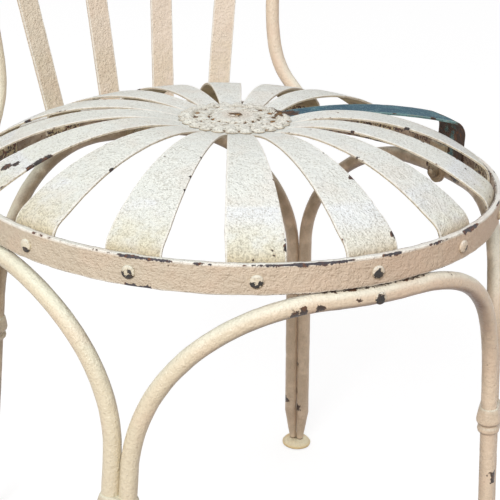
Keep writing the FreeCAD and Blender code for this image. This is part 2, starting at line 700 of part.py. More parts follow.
def back_side(u):
    """Side of the back hoop, drawn in from the widest place to the waist."""
    if u < SIDE_TURN:
        x = BACK_HALF_WIDTH - SIDE_BEND * (1.0 - math.cos(u))
        z = BACK_WIDEST - SIDE_BEND * math.sin(u)
    else:
        v = 2.0 * SIDE_TURN - u
        x = WAIST_HALF_WIDTH + SIDE_BEND * (1.0 - math.cos(v))
        z = WAIST_LEVEL + SIDE_BEND * math.sin(v)
    return FreeCAD.Vector(x, back_depth(x, z), z)


def back_flare(t):
    """Swan-neck from the waist out and forward to the side of the seat hoop."""
    waist = back_side(2.0 * SIDE_TURN)
    falling = (back_side(2.0 * SIDE_TURN) - back_side(2.0 * SIDE_TURN - 1e-4)).normalize()
    end = polar(FLARE_RADIUS, FLARE_ANGLE, SEAT_LEVEL - FLARE_SINK)
    upper = waist + falling * FLARE_PULL_UPPER
    lower = end + FreeCAD.Vector(0, 0, FLARE_PULL_LOWER)
    s = 1.0 - t
    return (waist * s ** 3 + upper * (3 * s * s * t)
            + lower * (3 * s * t * t) + end * t ** 3)


def back_hoop():
    """Bent tube of the back, its feet riveted to the outside of the seat hoop."""
    half = path_through(back_crown, 0.0, CROWN_TURN, 2)
    half += path_through(back_shoulder, CROWN_TURN, 0.5 * math.pi, 2)
    half += path_through(back_side, 0.0, 2.0 * SIDE_TURN, 4)
    half += path_through(back_flare, 0.0, 1.0, 4)
    end = back_flare(1.0)
    foot = FreeCAD.Vector(end.x, end.y, HOOP_BOTTOM + 0.5)
    half.append(Part.makeLine(end, foot))
    tube = round_bar(Part.__sortEdges__(mirrored_edges(half) + half), 0.5 * TUBE)
    for angle in (FLARE_ANGLE, -FLARE_ANGLE):
        start = polar(HOOP_RADIUS - TUBE, angle, RIVET_LEVEL)
        tube = drill(tube, RIVET_SHANK + FIT, start, outward(angle), 3 * TUBE)
    for foot_angle in SPLAT_FOOT_ANGLES:
        tube = drill_splat_top(tube, foot_angle)
    return tube


def back_hoop_rivets():
    """One long rivet through each foot of the back tube, the hoop and a strip."""
    seat = FLARE_RADIUS + 0.5 * TUBE
    solids = []
    for angle in (FLARE_ANGLE, -FLARE_ANGLE):
        solids.append(fastener(polar(seat, angle, RIVET_LEVEL), outward(angle),
                               seat - TAIL_INNER, RIVET_SHANK, RIVET_HEAD,
                               RIVET_HEAD_HEIGHT, RIVET_TAIL, RIVET_TAIL_HEIGHT))
    return Part.makeCompound(solids)


def hoop_level(x):
    """Height of the back hoop's centre line above a place across its crown."""
    if abs(x) < BACK_CROWN * math.sin(CROWN_TURN):
        return BACK_TOP - BACK_CROWN + math.sqrt(BACK_CROWN ** 2 - x * x)
    inner = abs(x) - CROWN_SPAN
    return BACK_WIDEST + math.sqrt(BACK_SHOULDER ** 2 - inner * inner)


def splat_line(foot_angle):
    """Where a splat's middle runs: x at the hoop, and x and height at the tube."""
    foot_x = SPLAT_MIDDLE * math.sin(math.radians(foot_angle))
    top_x = SPLAT_TOPS[SPLAT_FOOT_ANGLES.index(foot_angle)]
    return foot_x, top_x, hoop_level(top_x)


def back_normal(x, z):
    """Forward-facing normal of the back's surface."""
    across = FreeCAD.Vector(1.0, back_depth(x + 0.5, z) - back_depth(x - 0.5, z), 0)
    up = FreeCAD.Vector(0, back_depth(x, z + 0.5) - back_depth(x, z - 0.5), 1.0)
    return across.cross(up).normalize()


def splat_section(foot_angle, share):
    """Centre, sideways and backward directions at a share of the way to the tube."""
    foot_x, top_x, top_z = splat_line(foot_angle)
    x = foot_x + (top_x - foot_x) * share
    z = SEAT_LEVEL + (top_z - SEAT_LEVEL) * share
    facing = math.asin(x / (SPLAT_MIDDLE + BACK_FLATTEN * (z - SEAT_LEVEL)))
    away = FreeCAD.Vector(math.sin(facing), math.cos(facing), 0)
    side = FreeCAD.Vector(math.cos(facing), -math.sin(facing), 0)
    step = (0.5 * (TUBE + SPLAT_WALL) + FIT) * share
    centre = FreeCAD.Vector(x, back_depth(x, z), z) + back_normal(top_x, top_z) * step
    return centre, side, away


def splat_ring(centre, side, away):
    """Cross-section of a splat as a wire."""
    a = side * (0.5 * SPLAT_WIDTH)
    b = away * (0.5 * SPLAT_WALL)
    points = [centre - a - b, centre + a - b, centre + a + b, centre - a + b, centre - a - b]
    return Part.makePolygon(points)


def back_splat(foot_angle):
    """Flat bar, upright on the hoop and then leaning back and spreading out."""
    centre, side, away = splat_section(foot_angle, 0.0)
    low = FreeCAD.Vector(centre.x, centre.y, HOOP_BOTTOM + 0.5)
    rings = [splat_ring(low, side, away)]
    overrun = 1.0 + SPLAT_OVERRUN / (splat_line(foot_angle)[2] - SEAT_LEVEL)
    for i in range(SPLAT_SECTIONS + 1):
        centre, side, away = splat_section(foot_angle, overrun * i / SPLAT_SECTIONS)
        rings.append(splat_ring(centre, side, away))
    bar = Part.makeLoft(rings, True, True)
    angle = 180.0 - foot_angle
    start = polar(HOOP_RADIUS - SPLAT_WALL, angle, RIVET_LEVEL)
    bar = drill(bar, RIVET_SHANK + FIT, start, outward(angle), 4 * SPLAT_WALL)
    return drill_splat_top(bar, foot_angle)


def drill_splat_top(shape, foot_angle):
    """Shape with the hole of a splat's upper rivet."""
    centre = splat_section(foot_angle, 1.0)[0]
    top_x, top_z = splat_line(foot_angle)[1:]
    backward = back_normal(top_x, top_z) * -1.0
    return drill(shape, RIVET_SHANK + FIT, centre - backward * TUBE, backward, 4 * TUBE)


def splat_foot_rivets():
    """Rivets of the two inner splats; the outer two share the strips' rivets."""
    solids = []
    for foot_angle in SPLAT_FOOT_ANGLES:
        angle = 180.0 - foot_angle
        if angle % STRIP_PITCH == 0.0:
            continue
        seat = SPLAT_FACE + SPLAT_WALL
        solids.append(fastener(polar(seat, angle, RIVET_LEVEL), outward(angle),
                               seat - HOOP_INNER, RIVET_SHANK, RIVET_HEAD,
                               RIVET_HEAD_HEIGHT, RIVET_TAIL, RIVET_TAIL_HEIGHT))
    return Part.makeCompound(solids)


def splat_top_rivets():
    """Rivets through the upper ends of the splats and the back tube."""
    solids = []
    for foot_angle in SPLAT_FOOT_ANGLES:
        centre, side, away = splat_section(foot_angle, 1.0)
        top_x, top_z = splat_line(foot_angle)[1:]
        forward = back_normal(top_x, top_z)
        start = centre + forward * (0.5 * SPLAT_WALL)
        solids.append(fastener(start, forward, SPLAT_WALL + FIT + TUBE, RIVET_SHANK,
                               RIVET_HEAD, RIVET_HEAD_HEIGHT, RIVET_TAIL,
                               RIVET_TAIL_HEIGHT))
    return Part.makeCompound(solids)


NODES = {
    "seat_hoop": seat_hoop,
    "rosette": rosette,
    "rosette_backing": rosette_backing,
    "rosette_rivets": rosette_rivets,
    "centre_rivet": centre_rivet,
    "seat_rivets": seat_rivets,
    "arch_bolts": arch_bolts,
    "arch_nuts": arch_nuts,
    "back_hoop": back_hoop,
    "back_hoop_rivets": back_hoop_rivets,
    "splat_foot_rivets": splat_foot_rivets,
    "splat_top_rivets": splat_top_rivets,
}

for strip_number in range(STRIP_COUNT):
    name = "seat_strip_%02d" % (strip_number + 1)
    NODES[name] = lambda i=strip_number: seat_strip(i)

for place, arch_angle in ARCHES.items():
    NODES[place + "_arch"] = lambda a=arch_angle: leg_arch(a)
    NODES[place + "_arch_lug"] = lambda a=arch_angle: arch_lug(a)

for fore, side_y in (("front", -1.0), ("rear", 1.0)):
    for hand, side_x in (("left", -1.0), ("right", 1.0)):
        leg = fore + "_" + hand
        NODES["collar_" + leg] = lambda x=side_x, y=side_y: leg_collar(x, y)
        NODES["foot_" + leg] = lambda x=side_x, y=side_y: leg_foot(x, y)

for splat_number, splat_angle in enumerate(SPLAT_FOOT_ANGLES):
    NODES["back_splat_%d" % (splat_number + 1)] = lambda a=splat_angle: back_splat(a)

CHAIR_FRONT = -(ARCH_RADIUS + 0.5 * TUBE + BOLT_HEAD_HEIGHT)
CHAIR_REAR = back_depth(0.0, BACK_TOP) + 0.5 * TUBE
MIDDLE_DEPTH = 0.5 * (CHAIR_FRONT + CHAIR_REAR)

os.makedirs("parts", exist_ok=True)
for name, make in NODES.items():
    shape = make()
    shape.translate(FreeCAD.Vector(0, -MIDDLE_DEPTH, 0))
    shape.exportStep(os.path.join("parts", name + ".step"))
    print("%-20s solids %2d volume %9.1f valid %s" % (
        name, len(shape.Solids), shape.Volume, shape.isValid()))
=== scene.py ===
import math

import bpy
from mathutils import Matrix, Vector, noise


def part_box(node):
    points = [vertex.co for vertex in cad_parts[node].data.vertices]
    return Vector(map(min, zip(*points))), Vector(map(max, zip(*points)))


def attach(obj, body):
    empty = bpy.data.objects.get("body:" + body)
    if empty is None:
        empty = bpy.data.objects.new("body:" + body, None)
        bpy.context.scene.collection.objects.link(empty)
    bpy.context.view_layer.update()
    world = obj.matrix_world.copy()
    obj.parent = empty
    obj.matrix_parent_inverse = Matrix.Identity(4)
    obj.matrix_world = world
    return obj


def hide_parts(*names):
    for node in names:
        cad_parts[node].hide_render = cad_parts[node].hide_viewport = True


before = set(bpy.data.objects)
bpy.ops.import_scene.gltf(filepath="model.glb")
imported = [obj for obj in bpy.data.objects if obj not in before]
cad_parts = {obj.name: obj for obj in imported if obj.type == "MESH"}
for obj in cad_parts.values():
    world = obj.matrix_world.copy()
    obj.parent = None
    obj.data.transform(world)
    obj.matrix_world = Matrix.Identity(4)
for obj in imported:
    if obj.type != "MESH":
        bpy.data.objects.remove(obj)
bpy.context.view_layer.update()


# Seat hoop
# A flat steel bar bent into a ring and riveted round the strips' ends. It wears many
# coats of brushed ivory paint, painted lighter on top as a painted highlight, and knocked
# off along its upper edge.

SEAT_LEVEL = 396.0
HOOP_RADIUS = 215.0
HOOP_DEPTH = 21.5
HOOP_WALL = 5.0
# The top colour is a painted highlight on upward faces; the colour below is dirt and painted shade
# on downward faces
HOOP_TOP_LIT = "f0efe8"
HOOP_SIDE = "dbc7b2"
HOOP_UNDER_DIRT_AND_SHADE = "8a7263"
# Where the upper edge was knocked: first and last angle from the front, and how hard
HOOP_KNOCKS = ((-53, -48, 0.55), (-47.5, -37, 1.0), (-34, -29.5, 0.75), (-24.5, -17.5, 0.8),
               (-16.5, -5.5, 1.0), (0.5, 5.5, 0.95), (7.5, 9.0, 0.6), (11.0, 16.0, 0.8),
               (22.0, 28.5, 1.35), (-93, -88, 0.8), (62, 66, 0.8), (150, 161, 0.9),
               (208, 214, 0.9))
HOOP_RUST = (-46.0, -40.5)
KNOCK_REACH = 4.2
HOOP_STEPS = 900

hoop_low, hoop_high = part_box("seat_hoop")
SEAT_MIDDLE = Vector((0.0, 500.0 * (hoop_low.y + hoop_high.y), 0.0))


def linear(colour):
    """Linear shader colour of an sRGB hex colour."""
    levels = [int(colour[i:i + 2], 16) / 255.0 for i in (0, 2, 4)]
    return [c / 12.92 if c <= 0.04045 else ((c + 0.055) / 1.055) ** 2.4 for c in levels] + [1.0]


def add(tree, kind, inputs, out=0, **settings):
    """Adds a node, sets it up, links or fills its inputs and gives one of its outputs."""
    made = tree.nodes.new("ShaderNode" + kind)
    for key, value in settings.items():
        setattr(made, key, value)
    for key, value in inputs.items():
        if isinstance(value, bpy.types.NodeSocket):
            tree.links.new(value, made.inputs[key])
        else:
            made.inputs[key].default_value = value
    return made.outputs[out] if made.outputs else None


def weighted(tree, start, *parts):
    """A start value plus several patterns, each times its weight."""
    total = start
    for pattern, weight in parts:
        total = add(tree, "Math", {0: pattern, 1: weight, 2: total}, operation="MULTIPLY_ADD")
    return total


def coat(tree, colour, tint, pattern, low, high, most=1.0):
    """A tint laid over a colour, with more of it as a pattern goes from low to high."""
    share = add(tree, "MapRange", {"Value": pattern, "From Min": low, "From Max": high,
                                   "To Max": most}, interpolation_type="SMOOTHSTEP")
    return add(tree, "Mix", {0: share, 6: colour, 7: tint}, 2, data_type="RGBA")


def old_paint(name, top, side, under, wear=1.0, grit=1.0, bare="3a3536", grime_and_shade="c9b988",
              rust="7a4a2c", lumps=1.0, brushed=True, pale="f6f4ec", pepper="8d8577",
              cool=0.0, gloss=0.0, green=0.3, leftward_tint="dde3c6", blush=0.25, flush="e6c6ae"):
    """Many brushed coats of oil paint on steel: lighter above as a painted highlight, darker below
    with dirt and painted shade, chipped.
    """
    material = bpy.data.materials.new(name)
    material.use_nodes = True
    tree = material.node_tree
    tree.nodes.clear()
    smooth = {"interpolation_type": "SMOOTHSTEP"}
    place = add(tree, "TexCoord", {}, "Object")
    across = add(tree, "SeparateXYZ", {0: place}, "X")
    facing = add(tree, "SeparateXYZ", {0: add(tree, "NewGeometry", {}, "Normal")}, "Z")
    edge = add(tree, "Attribute", {}, "Fac", attribute_name="edge")
    grime_and_shade_share = add(tree, "Attribute", {}, "Fac", attribute_name="grime_and_shade")
    knocked_and_shaded = add(tree, "Attribute", {}, "Fac", attribute_name="chip_and_shade")

    # Patterns by the size of their marks in millimetres: clouds, blooms, patches, pinholes,
    # lumps and specks. Brush marks and grit are really about 0.3 mm; they are drawn at 1.1
    # and 1.5 mm, because finer ones don't show in the picture.
    patterns = []
    for size, detail, rough in ((62.0, 2.0, 0.5), (34.0, 2.0, 0.5), (15.0, 3.0, 0.5),
                                (5.0, 1.0, 0.5), (4.2, 3.0, 0.6), (1.5, 2.0, 0.6)):
        patterns.append(add(tree, "TexNoise", {"Vector": place, "Scale": 1000.0 / size,
                                               "Detail": detail, "Roughness": rough}))
    cloud, bloom, patch, pinhole, lump, speck = patterns
    strokes = speck
    if brushed:
        along = add(tree, "Attribute", {}, "Vector", attribute_name="brush")
        strokes = add(tree, "TexNoise", {"Vector": along, "Scale": 1000.0 / 1.1,
                                         "Detail": 2.0, "Roughness": 0.55})

    # Coats: lighter where they face up, a painted highlight; darker where they face down, partly
    # dirt and partly painted shade; greener towards the chair's left; in faint clouds
    tilt_light_shade_and_dirt = weighted(tree, -0.15, (facing, 1.0), (patch, 0.3))
    leftward = weighted(tree, 0.0, (across, 1.0), (patch, 0.1))
    colour = coat(tree, linear(side), linear(top), tilt_light_shade_and_dirt, 0.2, 0.85)
    colour = coat(tree, colour, linear(under), tilt_light_shade_and_dirt, -0.15, -0.85)
    # A green tint towards the chair's left side
    colour = coat(tree, colour, linear(leftward_tint), leftward, 0.08, -0.14, green)
    colour = coat(tree, colour, linear(flush), bloom, 0.48, 0.68, blush)
    shade = add(tree, "MapRange", {"Value": cloud, "From Min": 0.35, "From Max": 0.65,
                                   "To Min": 0.96, "To Max": 1.01}, **smooth)
    shade = add(tree, "MapRange", {"Value": patch, "From Min": 0.35, "From Max": 0.65,
                                   "To Min": shade,
                                   "To Max": weighted(tree, 0.045, (shade, 1.0))}, **smooth)
    colour = add(tree, "Mix", {0: 1.0, 6: colour, 7: shade}, 2, data_type="RGBA",
                 blend_type="MULTIPLY")
    if cool:
        chalk = add(tree, "MapRange", {"Value": grime_and_shade_share, "From Min": 0.12, "From Max": 0.2,
                                       "To Max": cool}, **smooth)
        chalk = add(tree, "MapRange", {"Value": grime_and_shade_share, "From Min": 0.7, "From Max": 0.3,
                                       "To Max": chalk}, **smooth)
        drift = weighted(tree, 0.0, (patch, 1.0), (cloud, 1.0))
        colour = coat(tree, colour, linear("f1f6fb"), drift, 0.75, 1.15, chalk)

    # Yellow-brown grime where it collects, which on the hoop's inner face and where the pipes meet
    # the hoop also stands in for painted shade; dark grit held in the paint; pale edges, a painted
    # highlight
    grime_and_shade_amount = weighted(tree, 0.0, (grime_and_shade_share, 0.42))
    colour = coat(tree, colour, linear(grime_and_shade), patch, 0.22, 0.6, grime_and_shade_amount)
    pitted = weighted(tree, 0.0, (speck, 1.0), (grime_and_shade_share, 0.05), (patch, 0.3))
    dust = weighted(tree, 0.4 * grit, (grime_and_shade_share, 0.05 * grit))
    colour = coat(tree, colour, linear(pepper), pitted, 0.65, 0.86, dust)
    colour = coat(tree, colour, linear(pepper), strokes, 0.56, 0.74, 0.2 * grit)
    # Pale line along rounded edges: a painted highlight
    colour = coat(tree, colour, linear(pale), edge, 0.35, 0.95, 0.7)

    # Chips: in runs along worn edges, where something struck, and a few pinholes. The same dark
    # bare patches also stand in for painted shade on the hoop's inner face, the strips' bent ends
    # and where the pipes meet the hoop.
    worn = weighted(tree, -1.98, (lump, 0.5), (cloud, 1.2), (patch, 0.8), (edge, 0.6 * wear))
    struck_and_shaded = weighted(tree, -1.36, (speck, 0.65), (lump, 0.95), (knocked_and_shaded, 1.0))
    pin = weighted(tree, 0.045 * wear - 1.03, (pinhole, 1.0), (cloud, 0.35))
    loss_and_shade = add(tree, "Math", {0: worn, 1: struck_and_shaded}, operation="MAXIMUM")
    loss_and_shade = add(tree, "Math", {0: loss_and_shade, 1: pin}, operation="MAXIMUM")
    chip_and_shade = add(tree, "MapRange", {"Value": loss_and_shade, "From Min": 0.0, "From Max": 0.04}, **smooth)
    metal = coat(tree, linear(bare), linear(rust), lump, 0.5, 0.72)
    colour = coat(tree, colour, linear("ab9274"), loss_and_shade, -0.06, 0.0, 0.4)
    colour = coat(tree, colour, metal, loss_and_shade, 0.0, 0.04)

    height = weighted(tree, 0.0, (speck, 0.42), (lump, 0.7), (strokes, 0.16), (chip_and_shade, -0.3))
    bump = add(tree, "Bump", {"Strength": 0.8 * lumps, "Distance": 0.003, "Height": height})
    shader = add(tree, "BsdfPrincipled", {
        "Base Color": colour, "Roughness": weighted(tree, 0.42 - gloss, (patch, 0.25)),
        "Normal": bump, "IOR": 1.5})
    add(tree, "OutputMaterial", {"Surface": shader})
    return material


def polar(radius, angle, z):
    """Point at an angle from the front towards the right-hand side, in millimetres."""
    a = math.radians(angle)
    return Vector((radius * math.sin(a), -radius * math.cos(a), z))


def bell(x, width):
    """Smooth hump, 1 in the middle."""
    return math.exp(-(x / width) ** 2)


def bar_outline(half_u, half_v, radius, along_u, along_v, worn=(1.0, 1.0, 1.0, 1.0)):
    """Rounded rectangle as (u, v, edge) points; worn rates its four corners, for chips and for a
    painted highlight along them.
    """
    corners = ((1, 1), (-1, 1), (-1, -1), (1, -1))
    points = []
    for k, (su, sv) in enumerate(corners):
        cu = su * (half_u - radius)
        cv = sv * (half_v - radius)
        for i in range(5):
            a = math.radians(90.0 * k + 22.5 * i)
            points.append((cu + radius * math.cos(a), cv + radius * math.sin(a), worn[k]))
        nu, nv = corners[(k + 1) % 4]
        start = Vector(points[-1][:2])
        last = math.radians(90.0 * (k + 1))
        turn = Vector((math.cos(last), math.sin(last))) * radius
        end = Vector((nu * (half_u - radius), nv * (half_v - radius))) + turn
        count = along_u if k % 2 == 0 else along_v
        shares = [0.04] + [i / count for i in range(1, count)] + [0.96]
        for share in shares:
            p = start.lerp(end, share)
            near = min(share, 1.0 - share) * (end - start).length
            weight = worn[k] if share < 0.5 else worn[(k + 1) % 4]
            points.append((p.x, p.y, 0.55 * weight if near < 1.2 else 0.0))
    return points


def station(point, edge=0.0, grime_and_shade=0.0, brush=(0.0, 0.0, 0.0), chip_and_shade=0.0):
    """One surface point with what the paint needs to know there."""
    return point, edge, grime_and_shade, brush, chip_and_shade


def skin(name, shells, material, closed=False, lump=0.0, chips=()):
    """Mesh over shells; each shell is a list of rings of stations, in millimetres."""
    faces = []
    stations = []
    for rings in shells:
        first = len(stations)
        count = len(rings[0])
        spans = len(rings) if closed else len(rings) - 1
        for i in range(spans):
            a = first + i * count
            b = first + ((i + 1) % len(rings)) * count
            for j in range(count):
                k = (j + 1) % count
                faces.append((a + j, a + k, b + k, b + j))
        for ring in rings:
            stations += ring
        if not closed:
            faces.append(tuple(range(first + count - 1, first - 1, -1)))
            faces.append(tuple(range(len(stations) - count, len(stations))))
    points = [s[0] for s in stations]
    mesh = bpy.data.meshes.new(name)
    mesh.from_pydata([(p + SEAT_MIDDLE) * 0.001 for p in points], [], faces)
    mesh.update()
    for polygon in mesh.polygons:
        polygon.use_smooth = len(polygon.vertices) == 4
    struck_and_shaded = [s[4] for s in stations]
    for place, size in chips:
        for i, p in enumerate(points):
            struck_and_shaded[i] = max(struck_and_shaded[i], 1.0 - (p - place).length / size)
    if lump:
        normals = [v.normal.copy() for v in mesh.vertices]
        for v, p, n in zip(mesh.vertices, points, normals):
            swell = noise.noise(p / 9.0) + 0.5 * noise.noise(p / 4.0)
            v.co += n * (0.001 * lump * swell)
    for key, values in (("edge", [s[1] for s in stations]), ("grime_and_shade", [s[2] for s in stations]),
                        ("chip_and_shade", struck_and_shaded)):
        layer = mesh.attributes.new(key, "FLOAT", "POINT")
        layer.data.foreach_set("value", values)
    layer = mesh.attributes.new("brush", "FLOAT_VECTOR", "POINT")
    layer.data.foreach_set("vector", [0.001 * c for s in stations for c in s[3]])
    mesh.materials.append(material)
    piece = bpy.data.objects.new(name, mesh)
    bpy.context.scene.collection.objects.link(piece)
    return piece


def stands_for(piece, node):
    """A piece that rides on the chair and stands for its CAD node."""
    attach(piece, "root")
    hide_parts(node)


def hoop_knock(angle):
    """How hard the hoop's upper edge was knocked at an angle."""
    hardest = 0.0
    for first, last, force in HOOP_KNOCKS:
        inside = min(angle - first, last - angle)
        hardest = max(hardest, force * min(1.0, 0.4 + inside / 1.5) if inside > -0.6 else 0.0)
    return hardest


# Brushed oil paint on a rolled bar: warm ivory with brush ridges, near-black steel at chips
hoop_paint = old_paint("brushed ivory paint on steel bar", HOOP_TOP_LIT, HOOP_SIDE, HOOP_UNDER_DIRT_AND_SHADE,
                       wear=0.9, lumps=1.1, bare="48444a", grit=0.5, grime_and_shade="6c5749",
                       pepper="a08a74", leftward_tint="c6cebc")
hoop_outline = bar_outline(0.5 * HOOP_DEPTH, 0.5 * HOOP_WALL, 0.9, 10, 4, (1.1, 0.7, 0.3, 0.6))
hoop_rings = []
for i in range(HOOP_STEPS):
    angle = -180.0 + 360.0 * i / HOOP_STEPS
    middle = polar(HOOP_RADIUS - 0.5 * HOOP_WALL, angle, SEAT_LEVEL - 0.5 * HOOP_DEPTH)
    out = polar(1.0, angle, 0.0)
    along = math.radians(angle) * HOOP_RADIUS
    flake = noise.noise(Vector((angle * 0.9, 3.0, 0.0)))
    knock = hoop_knock(angle if angle > -100 else angle + 360) * (1.0 + 0.35 * flake)
    rust = 1.0 + 0.8 * flake if HOOP_RUST[0] < angle < HOOP_RUST[1] else 0.0
    # Around each arch pipe the hoop's bottom edge darkens: grime and a painted contact shadow
    near_arch = min(1.0, max(0.0, abs(math.cos(math.radians(2.0 * angle))) - 0.5) * 3.0)
    ring = []
    for u, v, e in hoop_outline:
        below = 0.5 * HOOP_DEPTH - u
        inside = 0.5 * HOOP_WALL - v
        rise = HOOP_DEPTH - below
        chip_and_shade = knock * max(0.0, 1.0 - below / (KNOCK_REACH + 2.0 * flake))
        chip_and_shade *= max(0.0, 1.0 - inside / 3.0)
        # Darker on the inner face, grime with painted shade, and dark mottles there that are
        # partly wear and partly painted shade; rust along the bottom edge
        foot = max(rust * max(0.0, 1.0 - rise / 5.0), 0.64 * near_arch * bell(rise, 1.5),
                   0.42 + 0.12 * (angle > 30) if v < -1.5 else 0.0)
        grime_and_shade = 1.8 if v < -1.0 else 0.06 + 0.9 * near_arch * bell(rise, 2.2)
        ring.append(station(middle + Vector((0, 0, u)) + out * v, e, grime_and_shade,
                            (0.1 * along, u, v), max(chip_and_shade, foot)))
    hoop_rings.append(ring)
stands_for(skin("hoop_bar", [hoop_rings], hoop_paint, True, 0.3), "seat_hoop")


# Seat strips
# Sixteen flat spring-steel strips, bent over the dome and riveted inside the hoop. Their
# paint is chalky and painted lighter on top, a painted highlight, and dark beneath with dirt
# and painted shade. It is gritty and yellowed towards the hoop, with chips and a painted
# highlight along its edges.

# Gap between pieces that fit together
FIT = 0.15
STRIP_COUNT = 16
STRIP_PITCH = 360.0 / STRIP_COUNT
STRIP_WALL = 2.0
STRIP_START = 17.0
STRIP_TAB_HALF = 9.0
STRIP_START_HALF = 3.1
STRIP_HALF = 20.0
ROSETTE_RADIUS = 46.5
TAB_RISE = 37.4
CROWN_RADIUS = 85.0
CROWN_RISE = 43.0
RIM_BEND = 16.0
RIM_CENTRE_RISE = -6.1
TAIL_MIDDLE = HOOP_RADIUS - HOOP_WALL - FIT - 0.5 * STRIP_WALL
STRIP_SHOULDER = TAIL_MIDDLE - RIM_BEND
# The top colour is a painted highlight on upward faces; the colour below is dirt and painted shade
# on downward faces
STRIP_TOP_LIT = "eff2ee"
STRIP_SIDE = "c9b9a4"
STRIP_UNDER_DIRT_AND_SHADE = "4e3d33"
# Knocks on each strip: distance from the seat's middle, place across it (1 is its edge) and size
STRIP_KNOCKS = {
    0: ((118.0, 0.9, 2.6), (152.0, 0.97, 5.5), (202.0, 0.97, 4.0)),
    1: ((131.0, -0.95, 2.5),),
    2: ((150.0, 0.9, 3.0), (100.0, -1.0, 3.0)),
    3: ((138.0, -1.0, 4.0), (171.0, 1.0, 5.0)),
    4: ((207.0, -0.7, 18.0), (206.0, 0.9, 18.0), (203.0, 0.2, 13.0), (92.0, -1.0, 7.0),
        (176.0, -1.0, 6.0), (150.0, 1.0, 4.0), (50.0, 0.0, 14.0)),
    8: ((160.0, 1.0, 5.0),),
    10: ((120.0, -1.0, 4.0), (176.0, 1.0, 5.0)),
    12: ((186.0, -0.25, 8.5), (180.0, 0.05, 6.0), (176.0, 0.97, 5.0), (169.0, 0.97, 7.0),
         (162.0, 0.97, 5.0)),
    13: ((152.0, 1.0, 4.0), (128.0, -1.0, 3.0)),
    14: ((146.0, 1.0, 2.5), (160.0, 1.0, 2.0), (120.0, 1.0, 2.5)),
    15: ((147.0, 1.0, 2.2), (198.0, 1.0, 3.0), (203.0, 1.0, 4.0)),
}
# How far the crowns of the strips at the rear have sagged
STRIP_SAG = {6: 1.5, 7: 2.0, 8: 3.5, 9: 3.5, 10: 3.0, 11: 1.5}
YELLOWED_STRIPS = (12, 13, 14, 15)
GRIT_START = 168.0
GRIT_REACH = 34.0

LIFTED_STRIP = 4
LIFTED_RISE = 39.0
LIFTED_RIM_BEND = 14.0
LIFTED_CENTRE_RISE = 12.0
LIFTED_END_TURN = -4.0


def strip_side_view(rise, rim_bend, rim_rise):
    """Middle line of a strip as (radius, height, normal) stations."""
    climb = rise - TAB_RISE
    inner = ((CROWN_RADIUS - ROSETTE_RADIUS) ** 2 + climb ** 2) / (2.0 * climb)
    rim_x = TAIL_MIDDLE - rim_bend
    run = rim_x - CROWN_RADIUS
    fall = rise - rim_rise
    bend = (run ** 2 + fall ** 2 - rim_bend ** 2) / (2.0 * (fall - rim_bend))
    lean = math.asin(run / (bend - rim_bend))
    bottom = 1.0 - HOOP_DEPTH
    stations = []
    for i in range(10):
        r = STRIP_START + (ROSETTE_RADIUS - STRIP_START) * i / 10
        stations.append((r, TAB_RISE, 0.0, 1.0))
    start = -math.asin((CROWN_RADIUS - ROSETTE_RADIUS) / inner)
    arcs = ((CROWN_RADIUS, rise - inner, inner, start, 0.0, 16),
            (CROWN_RADIUS, rise - bend, bend, 0.0, lean, 50),
            (rim_x, rim_rise, rim_bend, lean, 0.5 * math.pi, 12))
    for cx, cz, radius, first, last, count in arcs:
        for i in range(count):
            a = first + (last - first) * i / count
            s, c = math.sin(a), math.cos(a)
            stations.append((cx + radius * s, cz + radius * c, s, c))
    for i in range(9):
        z = rim_rise + (bottom - rim_rise) * i / 8
        stations.append((TAIL_MIDDLE, z, 1.0, 0.0))
    return stations


def strip_half_width(r):
    """Half the strip's width at a distance from the middle of the seat."""
    if r < ROSETTE_RADIUS:
        share = (r - STRIP_START) / (ROSETTE_RADIUS - STRIP_START)
        return STRIP_START_HALF + (STRIP_TAB_HALF - STRIP_START_HALF) * share
    share = (r - ROSETTE_RADIUS) / (STRIP_SHOULDER - ROSETTE_RADIUS)
    return STRIP_TAB_HALF + (STRIP_HALF - STRIP_TAB_HALF) * min(1.0, share)


def strip_swing(r, end_turn):
    """How far, in degrees, a skewed strip's middle has moved round at a radius."""
    if r <= ROSETTE_RADIUS or end_turn == 0.0:
        return 0.0
    share = min(1.0, (r - ROSETTE_RADIUS) / (STRIP_SHOULDER - ROSETTE_RADIUS))
    turn = math.radians(end_turn)
    x = ROSETTE_RADIUS + share * (STRIP_SHOULDER * math.cos(turn) - ROSETTE_RADIUS)
    return math.degrees(math.atan2(share * STRIP_SHOULDER * math.sin(turn), x))


